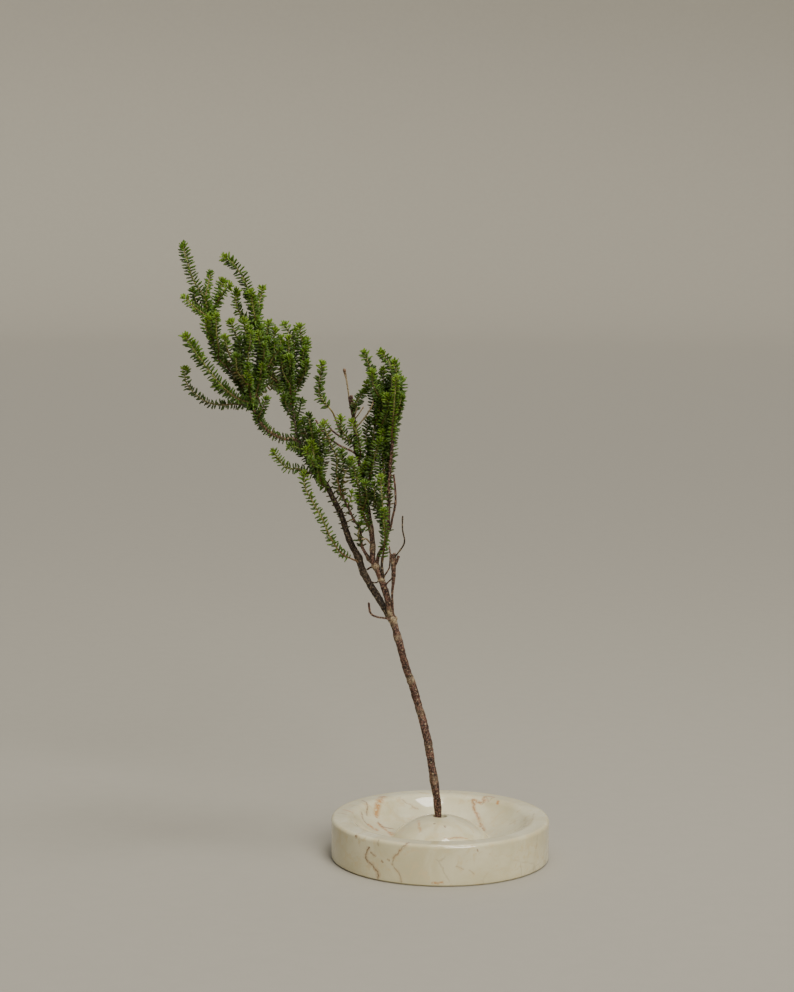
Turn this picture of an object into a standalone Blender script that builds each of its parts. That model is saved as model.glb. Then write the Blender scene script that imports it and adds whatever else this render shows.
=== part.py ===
"""An ikebana arrangement: one heath branch standing in a round stone dish.

Units are metres, +Z is up and the front faces -Y. The origin is the middle of the dish's
underside. The dish is turned in one piece, with a dome in its bowl and a drilled hole in the
dome that holds the branch. The branch is its stem, its limbs and bare twigs, and its leafy
shoots. Each shoot is one plain closed sleeve of the outer shape of its leaves.
"""

import math

import bpy
from mathutils import Vector

MM = 0.001

# Dish
DISH_RADIUS = 60.0 * MM
DISH_HEIGHT = 22.5 * MM
RIM_ROUND = 2.0 * MM
BASE_ROUND = 0.8 * MM
LIP_ROUND = 7.0 * MM
BOWL_STEEP = math.radians(48)  # slope of the bowl below its lip
BOWL_SHALLOW = math.radians(9)  # slope of the bowl beside the groove around the dome
GROOVE_ROUND = 2.6 * MM
DOME_TOP = 22.9 * MM
DOME_ROUND = 36.0 * MM
DOME_EDGE = 23.3 * MM  # distance from the axis at which the dome begins to fall away
DOME_EDGE_ROUND = 8.0 * MM
DOME_STEEP = math.radians(66)  # steepest slope of the dome, above the groove
HOLE_RADIUS = 3.8 * MM
HOLE_FLOOR = 11.5 * MM
TURN_STEPS = 48

# Branch
ROUTE_STEP = 5.0 * MM  # distance between the rings of a limb or a sleeve
LIMB_START = 0.55  # part of its full thickness that a limb has where it leaves its parent
SLEEVE_START = 0.3  # part of its full radius that a sleeve has at its foot
SLEEVE_TIP = 0.45
SLEEVE_SWELL = 0.22  # part of its length over which a sleeve reaches its full radius

STONE = (0.76, 0.70, 0.56)
BARK = (0.20, 0.085, 0.04)
PALE_BARK = (0.42, 0.27, 0.15)
DARK_BARK = (0.09, 0.05, 0.03)
LEAF = (0.12, 0.20, 0.03)
YOUNG_LEAF = (0.30, 0.42, 0.06)
OLD_LEAF = (0.07, 0.10, 0.025)

# Stem, limbs and bare twigs: route in mm from foot to tip, radius in mm at each even stretch
# of that route, and colour.
LIMBS = {
    "main_stem": (
        [(-1.2, 0, 12), (-1.2, 0, 22), (-1.7, -1, 31), (-3.9, -1, 44), (-5.9, 0, 57), (-8.4, 1, 69.5),
         (-11.9, 2, 82), (-15.8, 2, 95), (-19.3, 1, 105), (-22.3, 0, 116), (-24.7, 0, 124.5),
         (-27.5, 0, 134.5)],
        [1.7, 2.1, 2.1, 2.0, 1.95, 1.9],
        BARK,
    ),
    "left_limb": (
        [(-31.5, 2.5, 138), (-36, 5, 145), (-42.5, 7, 155.5), (-46, 8, 165), (-51, 9, 174.5),
         (-55.5, 10, 188), (-59.5, 11, 196), (-64, 12, 204.5), (-70, 12, 213), (-76.5, 11, 223),
         (-79.5, 10, 229)],
        [1.8, 1.85, 1.7, 1.5, 1.25, 1.05],
        DARK_BARK,
    ),
    "middle_limb": (
        [(-27.9, -0.1, 135.6), (-28.5, -0.5, 138), (-30.5, -2, 146.5),
         (-33.5, -3, 155.5), (-37.5, -4, 164.5)],
        [1.7, 1.8, 1.6],
        BARK,
    ),
    "centre_limb": (
        [(-38.1, -3.9, 166), (-38, -3, 173), (-39, -2, 181), (-40.5, 0, 191), (-42.5, 1, 199.5),
         (-44.5, 3, 212.5), (-47.5, 4, 224.5), (-48, 4, 234), (-49, 3, 243), (-51, 2, 253)],
        [1.45, 1.3, 1.1, 1.0, 1.05],
        BARK,
    ),
    "right_twig": (
        [(-35, -5.5, 167.5), (-33.5, -7, 171), (-31.5, -9, 175), (-30, -10, 182.5), (-29.5, -11, 196.5),
         (-29.5, -12, 207), (-28.5, -13, 222), (-27, -14, 237.5)],
        [1.0, 0.95, 0.8],
        BARK,
    ),
    "curved_twig": (
        [(-28.5, -12, 184), (-27.5, -14, 189.5), (-26, -16, 197), (-26, -16, 205), (-27, -15, 213.5)],
        [0.6, 0.6, 0.5],
        BARK,
    ),
    "lower_arm": (
        [(-81, 8, 229.5), (-87.5, 3, 230.5), (-95, -3, 235.5), (-100, -8, 242.5), (-103, -11, 251)],
        [0.9, 0.8, 0.6],
        PALE_BARK,
    ),
    "upper_arm": (
        [(-80, 12, 231.5), (-81.5, 17, 240.5), (-83.5, 20, 250)],
        [0.8, 0.7, 0.5],
        DARK_BARK,
    ),
    "side_stub": (
        [(-27, -3, 140.5), (-27.3, -6, 147), (-26.6, -8, 157), (-26.9, -9, 169)],
        [0.5, 0.5, 0.65, 1.15, 1.25],
        BARK,
    ),
    "hook_twig": (
        [(-30, -2.5, 133), (-35.5, -6, 134.5), (-39, -8, 137), (-40, -9, 143)],
        [0.5, 0.5, 0.6],
        BARK,
    ),
    "dry_tip": ([(-51.5, 1.5, 254.2), (-52.5, -1, 261.5), (-54, -3, 269)], [0.4, 0.4, 0.55], PALE_BARK),
    "bare_twig_low": (
        [(-49, 1.5, 223.5), (-57, -4, 228), (-64, -8, 234), (-69, -11, 242)],
        [0.6, 0.5, 0.45],
        BARK,
    ),
    "bare_twig_high": (
        [(-49, 6, 227.5), (-54, 12, 229.5), (-60.5, 16, 233.5), (-66, 19, 240)],
        [0.6, 0.5, 0.45],
        BARK,
    ),
    "pale_curl": (
        [(-47, 1.7, 237), (-42.5, -3, 243), (-39.5, -8, 248), (-38, -10, 252.5)],
        [0.45, 0.4, 0.4],
        PALE_BARK,
    ),
    "whip_twig": (
        [(-25.3, -10.5, 169), (-21, -15, 176.5), (-22, -17, 184), (-22, -18, 191.5)],
        [0.4, 0.4],
        DARK_BARK,
    ),
    "inner_twig": (
        [(-32.5, -5, 157.5), (-33, -6, 163), (-32.5, -6.7, 168)],
        [0.75, 0.7],
        DARK_BARK,
    ),
    "thin_twig": (
        [(-31.5, -5.5, 157), (-29, -9, 162), (-28.5, -13, 169), (-29, -15, 174.5)],
        [0.45, 0.4, 0.4],
        BARK,
    ),
    "fork_twig": (
        [(-39.5, -1.5, 165), (-44, 2, 172), (-45, 0, 181.5),
         (-48.5, -3, 187.5), (-51.5, -6, 194.5), (-55, -9, 201)],
        [0.95, 0.7, 0.5],
        BARK,
    ),
    "needle_twig": ([(-41.5, -1, 198), (-40, -6, 209), (-41, -8, 219.5)], [0.45, 0.4], DARK_BARK),
}

# Leafy shoots: full radius of the sleeve in mm, route in mm from foot to tip, and colour.
SHOOTS = {
    "shoot_top_left": (
        2.3,
        [(-104, -11.3, 253), (-114, -13, 267.5), (-121, -13, 275), (-124, -13, 285.5), (-125, -13, 296),
         (-128.5, -13, 307), (-134, -14, 316.5), (-136.5, -15, 325), (-139, -16, 334)],
        LEAF,
    ),
    "shoot_spur_top": (
        1.8,
        [(-127.5, -9, 308.5), (-126.5, -6, 313.5), (-125.5, -4, 319.5)],
        YOUNG_LEAF,
    ),
    "shoot_bright_top": (2.4, [(-124, -8, 298), (-122, -4, 305.5), (-119, -1, 315)], YOUNG_LEAF),
    "shoot_bright_side": (2.0, [(-120, -8, 307), (-117.5, -10, 310.5), (-114.5, -12, 313)], YOUNG_LEAF),
    "shoot_outer_left": (2.0, [(-127, -17, 297.5), (-132, -20, 301.5), (-137.5, -23, 307)], YOUNG_LEAF),
    "shoot_dark_left": (2.0, [(-129.5, -9, 301), (-133, -7, 304.5), (-134.5, -5, 310)], OLD_LEAF),
    "shoot_crown": (
        2.3,
        [(-102.5, -4, 252), (-101, 0, 267.5), (-100.5, 2, 281), (-101.5, 3, 293), (-103.5, 3, 304),
         (-107, 2, 313.5), (-110.5, 0, 320.5), (-114, -2, 325), (-117.5, -5, 328)],
        LEAF,
    ),
    "shoot_crown_front": (2.0, [(-102, -3, 296.5), (-103, -4, 302.5), (-104, -5, 309.5)], YOUNG_LEAF),
    "shoot_crown_left": (
        2.2,
        [(-105, 8, 293), (-110.5, 11, 297.5), (-113, 12, 303.5), (-113, 13, 309)],
        LEAF,
    ),
    "shoot_crown_right": (2.0, [(-100.5, 8, 294), (-100.5, 10, 301.5), (-98.5, 12, 311)], YOUNG_LEAF),
    "shoot_mid_left": (
        2.4,
        [(-104.5, -14.5, 251), (-110.5, -20, 254), (-117, -23, 259.5), (-123.5, -25, 267.5),
         (-129.5, -26, 275.5), (-134, -27, 282), (-136.5, -28, 287)],
        LEAF,
    ),
    "shoot_curl_left": (
        2.1,
        [(-104.5, -8, 248.5), (-112, -5, 249.5), (-120, -4, 249), (-127.5, -4, 250.5),
         (-134.5, -5, 255.5), (-138.5, -6, 261.5), (-139, -7, 268)],
        OLD_LEAF,
    ),
    "shoot_inner_a": (1.9, [(-120, -18, 279.5), (-121, -20, 287.5), (-121, -22, 297.5)], LEAF),
    "shoot_inner_b": (
        2.1,
        [(-107, -6, 257.5), (-109.5, -5, 272), (-110.5, -5, 282.5), (-114.5, -6, 293.5)],
        LEAF,
    ),
    "shoot_inner_c": (
        1.9,
        [(-109.5, -18, 265), (-112.5, -20, 273), (-115, -22, 279.5), (-116.5, -24, 286.5)],
        OLD_LEAF,
    ),
    "shoot_inner_d": (
        2.1,
        [(-103.5, -15.5, 255), (-105, -18, 267.5), (-104.5, -19, 279.5), (-106.5, -21, 295)],
        LEAF,
    ),
    "shoot_inner_e": (
        2.0,
        [(-101, -8.5, 253.5), (-97.5, -9, 269.5), (-98, -10, 279), (-100, -11, 287.5)],
        LEAF,
    ),
    "shoot_inner_f": (2.1, [(-99, 4, 258), (-96.5, 7, 270), (-97, 9, 280.5), (-95, 11, 292.5)], LEAF),
    "shoot_inner_g": (
        2.1,
        [(-86, 16, 252), (-92.5, 12, 263.5), (-93.5, 12, 275), (-92, 12, 288.5)],
        LEAF,
    ),
    "shoot_inner_h": (2.0, [(-85.5, 21.5, 254), (-87, 22, 267.5), (-88.5, 21, 281)], OLD_LEAF),
    "shoot_arm_left": (2.1, [(-83.5, 17.5, 252), (-84, 15, 266.5), (-84.5, 15, 284)], LEAF),
    "shoot_arm_mid": (
        2.1,
        [(-84, 25, 254), (-82.5, 29, 270), (-83, 30, 282), (-87.5, 31, 290.5)],
        LEAF,
    ),
    "shoot_arm_right": (
        2.2,
        [(-82.5, 21.5, 252), (-78.5, 23, 263.5), (-77, 24, 274.5), (-79, 24, 290)],
        LEAF,
    ),
    "shoot_low_a": (2.2, [(-68, 8.5, 209.5), (-69.5, 3, 220), (-71, 1, 231), (-73, 0, 243)], LEAF),
    "shoot_low_b": (2.1, [(-72, 15, 215.5), (-76, 18, 226.5), (-79, 19, 237)], OLD_LEAF),
    "shoot_low_c": (2.1, [(-66, 8, 205.5), (-68.5, -3, 216), (-71.5, -6, 229)], YOUNG_LEAF),
    "shoot_low_small": (
        2.0,
        [(-71.5, 10.5, 210.5), (-79, 7, 213.5), (-85.5, 5, 214.5), (-92, 3, 223)],
        YOUNG_LEAF,
    ),
    "shoot_hanging": (
        2.2,
        [(-56, 12, 232), (-60, 5, 244), (-65, 3, 250.5), (-67.5, 3, 256.5), (-66, 2, 271)],
        LEAF,
    ),
    "shoot_mid_small": (2.0, [(-50, 1.5, 229), (-55, -3, 235.5), (-56, -4, 242.5)], LEAF),
    "shoot_mid_low": (
        2.1,
        [(-55.3, -9.4, 202.2), (-57.5, -13, 212.5), (-57.5, -15, 222),
         (-61.5, -17, 231.5), (-64.5, -19, 240.5)],
        OLD_LEAF,
    ),
    "shoot_centre_front": (2.0, [(-45, 1.5, 222), (-46, -3, 231.5), (-50, -5, 240.5)], YOUNG_LEAF),
    "shoot_centre_left": (
        2.1,
        [(-41, -3.5, 184.5), (-44.5, -6, 196.5), (-46, -7, 207), (-49.5, -9, 220.5)],
        YOUNG_LEAF,
    ),
    "shoot_low_left": (
        2.1,
        [(-47.5, 6, 163.5), (-55, 2, 168), (-60.5, -1, 176), (-65, -3, 186.5), (-70, -5, 196),
         (-74.5, -7, 205), (-75, -8, 212.5)],
        YOUNG_LEAF,
    ),
    "shoot_right_low": (
        2.1,
        [(-31.5, -12, 177), (-32, -18, 187.5), (-33, -19, 200), (-34, -19, 212)],
        LEAF,
    ),
    "shoot_right_a": (
        2.2,
        [(-42, 0.4, 207), (-39, -2, 225), (-37.5, -4, 238.5), (-38, -5, 252.5), (-41.5, -6, 261)],
        LEAF,
    ),
    "shoot_right_b": (
        2.2,
        [(-31, -10.5, 206), (-33.5, -8, 226.5), (-33.5, -9, 242), (-35, -10, 257), (-43, -12, 278)],
        LEAF,
    ),
    "shoot_right_c": (
        2.2,
        [(-29.5, -9, 209.5), (-31, -2, 228), (-32, 0, 244), (-33, 2, 268)],
        OLD_LEAF,
    ),
    "shoot_right_d": (
        2.2,
        [(-28, -11, 223), (-28.5, -6, 241.5), (-28.5, -5, 256.5), (-29, -6, 270.5), (-34, -8, 278)],
        LEAF,
    ),
    "shoot_right_e": (
        2.2,
        [(-26.8, -14.2, 238.6), (-24.5, -16, 252), (-25, -17, 263), (-27, -18, 273.5)],
        LEAF,
    ),
    "shoot_right_f": (2.0, [(-28, -17, 235), (-27, -22, 251), (-26, -24, 265.5)], YOUNG_LEAF),
}


def clear_scene():
    for item in list(bpy.data.objects):
        bpy.data.objects.remove(item, do_unlink=True)


def make_material(name, colour, roughness):
    material = bpy.data.materials.new(name)
    material.use_nodes = True
    shader = material.node_tree.nodes["Principled BSDF"]
    shader.inputs["Base Color"].default_value = (*colour, 1.0)
    shader.inputs["Roughness"].default_value = roughness
    shader.inputs["Metallic"].default_value = 0.0
    return material


def carry_on(section, radius, start, end, steps):
    """Carries a section on outward by an arc between two downward slopes, in radians.

    The arc bulges where its slope grows and is hollow where its slope shrinks.
    """
    x, z = section[-1]
    bulge = radius if end > start else -radius
    for step in range(1, steps + 1):
        slope = start + (end - start) * step / steps
        out = bulge * (math.sin(slope) - math.sin(start))
        up = bulge * (math.cos(slope) - math.cos(start))
        section.append((x + out, z + up))


def dish_section():
    """The dish's section, from the hole's floor over the dome, bowl and rim to the underside."""
    mouth_slope = math.asin(HOLE_RADIUS / DOME_ROUND)
    mouth_height = DOME_TOP - DOME_ROUND * (1 - math.cos(mouth_slope))
    edge_slope = math.asin(DOME_EDGE / DOME_ROUND)
    section = [(0.0, HOLE_FLOOR), (HOLE_RADIUS, HOLE_FLOOR), (HOLE_RADIUS, mouth_height)]
    carry_on(section, DOME_ROUND, mouth_slope, edge_slope, 6)
    carry_on(section, DOME_EDGE_ROUND, edge_slope, DOME_STEEP, 2)
    carry_on(section, GROOVE_ROUND, DOME_STEEP, -BOWL_SHALLOW, 4)
    lip_rise = LIP_ROUND * (1 - math.cos(BOWL_STEEP))
    bowl_rise = DISH_HEIGHT - lip_rise - section[-1][1]
    bowl_round = bowl_rise / (math.cos(BOWL_SHALLOW) - math.cos(BOWL_STEEP))
    carry_on(section, bowl_round, -BOWL_SHALLOW, -BOWL_STEEP, 6)
    carry_on(section, LIP_ROUND, -BOWL_STEEP, 0.0, 4)
    section.append((DISH_RADIUS - RIM_ROUND, DISH_HEIGHT))
    carry_on(section, RIM_ROUND, 0.0, math.pi / 2, 4)
    section.append((DISH_RADIUS, BASE_ROUND))
    carry_on(section, BASE_ROUND, math.pi / 2, math.pi, 2)
    return section + [(0.0, 0.0)]


def make_dish(collection):
    section = dish_section()
    mesh = bpy.data.meshes.new("dish")
    edges = [(index, index + 1) for index in range(len(section) - 1)]
    mesh.from_pydata([(x, 0.0, z) for x, z in section], edges, [])
    dish = bpy.data.objects.new("dish", mesh)
    collection.objects.link(dish)
    turn = dish.modifiers.new("turn", "SCREW")
    turn.steps = TURN_STEPS
    turn.render_steps = TURN_STEPS
    turn.use_merge_vertices = True
    turn.merge_threshold = 0.01 * MM
    turn.use_smooth_shade = True
    mesh.materials.append(make_material("dish", STONE, 0.25))
    return dish


def smooth_point(points, place):
    """A point on the smooth curve through the route's points; place counts along them."""
    index = min(int(place), len(points) - 2)
    part = place - index
    here, after = points[index], points[index + 1]
    before = points[index - 1] if index > 0 else here * 2 - after
    later = points[index + 2] if index + 2 < len(points) else after * 2 - here
    return (
        here * 2
        + (after - before) * part
        + (before * 2 - here * 5 + after * 4 - later) * part**2
        + (here * 3 - before - after * 3 + later) * part**3
    ) * 0.5


def blend(values, part):
    """The value at a part from 0 to 1 of an evenly spaced list."""
    place = part * (len(values) - 1)
    index = min(int(place), len(values) - 2)
    return values[index] + (values[index + 1] - values[index]) * (place - index)


def make_tube(collection, name, route_mm, radius_at, colour):
    """A closed tube on a smooth route, with its own radius at each ring."""
    points = [Vector(point) * MM for point in route_mm]
    length = sum((after - here).length for here, after in zip(points, points[1:]))
    rings = max(5, round(length / ROUTE_STEP) + 1)
    curve = bpy.data.curves.new(name, "CURVE")
    curve.dimensions = "3D"
    curve.bevel_depth = MM
    curve.bevel_resolution = 2
    curve.use_fill_caps = True
    spline = curve.splines.new("POLY")
    spline.points.add(rings - 1)
    for ring, point in enumerate(spline.points):
        part = ring / (rings - 1)
        place = smooth_point(points, part * (len(points) - 1)) - points[0]
        point.co = (*place, 1.0)
        point.radius = radius_at(part)
    tube = bpy.data.objects.new(name, curve)
    tube.location = points[0]
    collection.objects.link(tube)
    curve.materials.append(make_material(name, colour, 0.7))
    return tube


def limb_radius(radii, grows_from_soil):
    start = 1.0 if grows_from_soil else LIMB_START

    def radius_at(part):
        return blend(radii, part) * min(1.0, start + part * 8 * (1 - start))

    return radius_at


def sleeve_radius(full):
    def radius_at(part):
        swell = min(1.0, SLEEVE_START + (1 - SLEEVE_START) * part / SLEEVE_SWELL)
        close = 1.0 if part < 0.99 else SLEEVE_TIP
        return full * swell * close

    return radius_at


def main():
    clear_scene()
    collection = bpy.data.collections.new("ikebana_arrangement")
    bpy.context.scene.collection.children.link(collection)
    make_dish(collection)
    stands_alone = ("main_stem", "middle_limb", "centre_limb")
    for name, (route, radii, colour) in LIMBS.items():
        make_tube(collection, name, route, limb_radius(radii, name in stands_alone), colour)
    for name, (full, route, colour) in SHOOTS.items():
        make_tube(collection, name, route, sleeve_radius(full), colour)


main()
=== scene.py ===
"""The looks of the ikebana arrangement: a heath branch standing in a round marble dish.

Units are metres, +Z is up and the front faces -Y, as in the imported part. Route points and
radii are in millimetres, as in the part's source, and each length below that is given in
millimetres is scaled by MM.
"""

import math
import random

import bpy
import numpy as np
from mathutils import Matrix, Vector, noise


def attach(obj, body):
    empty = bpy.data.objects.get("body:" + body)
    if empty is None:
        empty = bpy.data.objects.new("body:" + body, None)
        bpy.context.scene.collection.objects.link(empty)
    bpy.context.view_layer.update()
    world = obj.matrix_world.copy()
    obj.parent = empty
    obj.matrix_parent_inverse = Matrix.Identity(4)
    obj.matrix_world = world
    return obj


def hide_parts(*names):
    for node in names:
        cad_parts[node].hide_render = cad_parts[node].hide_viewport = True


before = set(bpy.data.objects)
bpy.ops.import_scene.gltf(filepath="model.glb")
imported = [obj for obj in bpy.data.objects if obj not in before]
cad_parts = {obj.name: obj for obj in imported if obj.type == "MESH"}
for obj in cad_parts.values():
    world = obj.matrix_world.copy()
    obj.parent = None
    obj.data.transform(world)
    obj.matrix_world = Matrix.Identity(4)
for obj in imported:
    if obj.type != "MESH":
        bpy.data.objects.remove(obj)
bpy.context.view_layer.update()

MM = 0.001

# Dish, as in the part
DISH_RADIUS = 60.0
DISH_HEIGHT = 22.5
RIM_ROUND = 2.0
BASE_ROUND = 0.8
LIP_ROUND = 7.0
BOWL_STEEP = math.radians(48)
BOWL_SHALLOW = math.radians(9)
GROOVE_ROUND = 2.6
DOME_TOP = 22.9
DOME_ROUND = 36.0
DOME_EDGE = 23.3
DOME_EDGE_ROUND = 8.0
DOME_STEEP = math.radians(66)
HOLE_RADIUS = 3.8
HOLE_FLOOR = 11.5
HOLE_ROUND = 0.35
FOOT_INSET = 1.3  # the low foot under the dish stands back from its wall
FOOT_HEIGHT = 0.5
TURN_STEPS = 224

PATH_STEP = 0.25  # distance between the points of a smooth path
SCAR_LENGTH = 0.42
SCAR_WIDTH = 0.6

# Stem, limbs and bare twigs: parent, material slot, then radii and route from foot to tip.
LIMBS = {
    "main_stem": (None, "bark", [1.7, 2.1, 2.1, 2.0, 1.95, 1.9], [
        (-1.2, 0, 12), (-1.2, 0, 22), (-1.7, -1, 31), (-3.9, -1, 44), (-5.9, 0, 57),
        (-8.4, 1, 69.5), (-11.9, 2, 82), (-15.8, 2, 95), (-19.3, 1, 105), (-22.3, 0, 116),
        (-24.7, 0, 124.5), (-27.5, 0, 134.5)]),
    "left_limb": ("main_stem", "dark_bark", [1.8, 1.85, 1.7, 1.5, 1.25, 1.05], [
        (-31.5, 2.5, 138), (-36, 5, 145), (-42.5, 7, 155.5), (-46, 8, 165), (-51, 9, 174.5),
        (-55.5, 10, 188), (-59.5, 11, 196), (-64, 12, 204.5), (-70, 12, 213), (-76.5, 11, 223),
        (-79.5, 10, 229)]),
    "middle_limb": ("main_stem", "bark", [1.7, 1.8, 1.6], [
        (-27.9, -0.1, 135.6), (-28.5, -0.5, 138), (-30.5, -2, 146.5), (-33.5, -3, 155.5),
        (-37.5, -4, 164.5)]),
    "centre_limb": ("middle_limb", "bark", [1.45, 1.3, 1.1, 1.0, 1.05], [
        (-38.1, -3.9, 166), (-38, -3, 173), (-39, -2, 181), (-40.5, 0, 191), (-42.5, 1, 199.5),
        (-44.5, 3, 212.5), (-47.5, 4, 224.5), (-48, 4, 234), (-49, 3, 243), (-51, 2, 253)]),
    "right_twig": ("middle_limb", "bark", [1.0, 0.95, 0.8], [
        (-35, -5.5, 167.5), (-33.5, -7, 171), (-31.5, -9, 175), (-30, -10, 182.5),
        (-29.5, -11, 196.5), (-29.5, -12, 207), (-28.5, -13, 222), (-27, -14, 237.5)]),
    "curved_twig": ("right_twig", "bark", [0.6, 0.6, 0.5], [
        (-28.5, -12, 184), (-27.5, -14, 189.5), (-26, -16, 197), (-26, -16, 205), (-27, -15, 213.5)]),
    "lower_arm": ("left_limb", "pale_bark", [0.9, 0.8, 0.6], [
        (-81, 8, 229.5), (-87.5, 3, 230.5), (-95, -3, 235.5), (-100, -8, 242.5), (-103, -11, 251)]),
    "upper_arm": ("left_limb", "dark_bark", [0.8, 0.7, 0.5], [
        (-80, 12, 231.5), (-81.5, 17, 240.5), (-83.5, 20, 250)]),
    "side_stub": ("main_stem", "bark", [0.5, 0.5, 0.65, 1.15, 1.25], [
        (-27, -3, 140.5), (-27.3, -6, 147), (-26.6, -8, 157), (-26.9, -9, 169)]),
    "hook_twig": ("main_stem", "bark", [0.5, 0.5, 0.6], [
        (-30, -2.5, 133), (-35.5, -6, 134.5), (-39, -8, 137), (-40, -9, 143)]),
    "dry_tip": ("centre_limb", "pale_bark", [0.4, 0.4, 0.55], [
        (-51.5, 1.5, 254.2), (-52.5, -1, 261.5), (-54, -3, 269)]),
    "bare_twig_low": ("centre_limb", "bark", [0.6, 0.5, 0.45], [
        (-49, 1.5, 223.5), (-57, -4, 228), (-64, -8, 234), (-69, -11, 242)]),
    "bare_twig_high": ("centre_limb", "bark", [0.6, 0.5, 0.45], [
        (-49, 6, 227.5), (-54, 12, 229.5), (-60.5, 16, 233.5), (-66, 19, 240)]),
    "pale_curl": ("centre_limb", "pale_bark", [0.45, 0.4, 0.4], [
        (-47, 1.7, 237), (-42.5, -3, 243), (-39.5, -8, 248), (-38, -10, 252.5)]),
    "whip_twig": ("side_stub", "dark_bark", [0.4, 0.4], [
        (-25.3, -10.5, 169), (-21, -15, 176.5), (-22, -17, 184), (-22, -18, 191.5)]),
    "inner_twig": ("middle_limb", "dark_bark", [0.75, 0.7], [
        (-32.5, -5, 157.5), (-33, -6, 163), (-32.5, -6.7, 168)]),
    "thin_twig": ("middle_limb", "bark", [0.45, 0.4, 0.4], [
        (-31.5, -5.5, 157), (-29, -9, 162), (-28.5, -13, 169), (-29, -15, 174.5)]),
    "fork_twig": ("middle_limb", "bark", [0.95, 0.7, 0.5], [
        (-39.5, -1.5, 165), (-44, 2, 172), (-45, 0, 181.5), (-48.5, -3, 187.5), (-51.5, -6, 194.5),
        (-55, -9, 201)]),
    "needle_twig": ("centre_limb", "dark_bark", [0.45, 0.4], [
        (-41.5, -1, 198), (-40, -6, 209), (-41, -8, 219.5)]),
}

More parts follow.
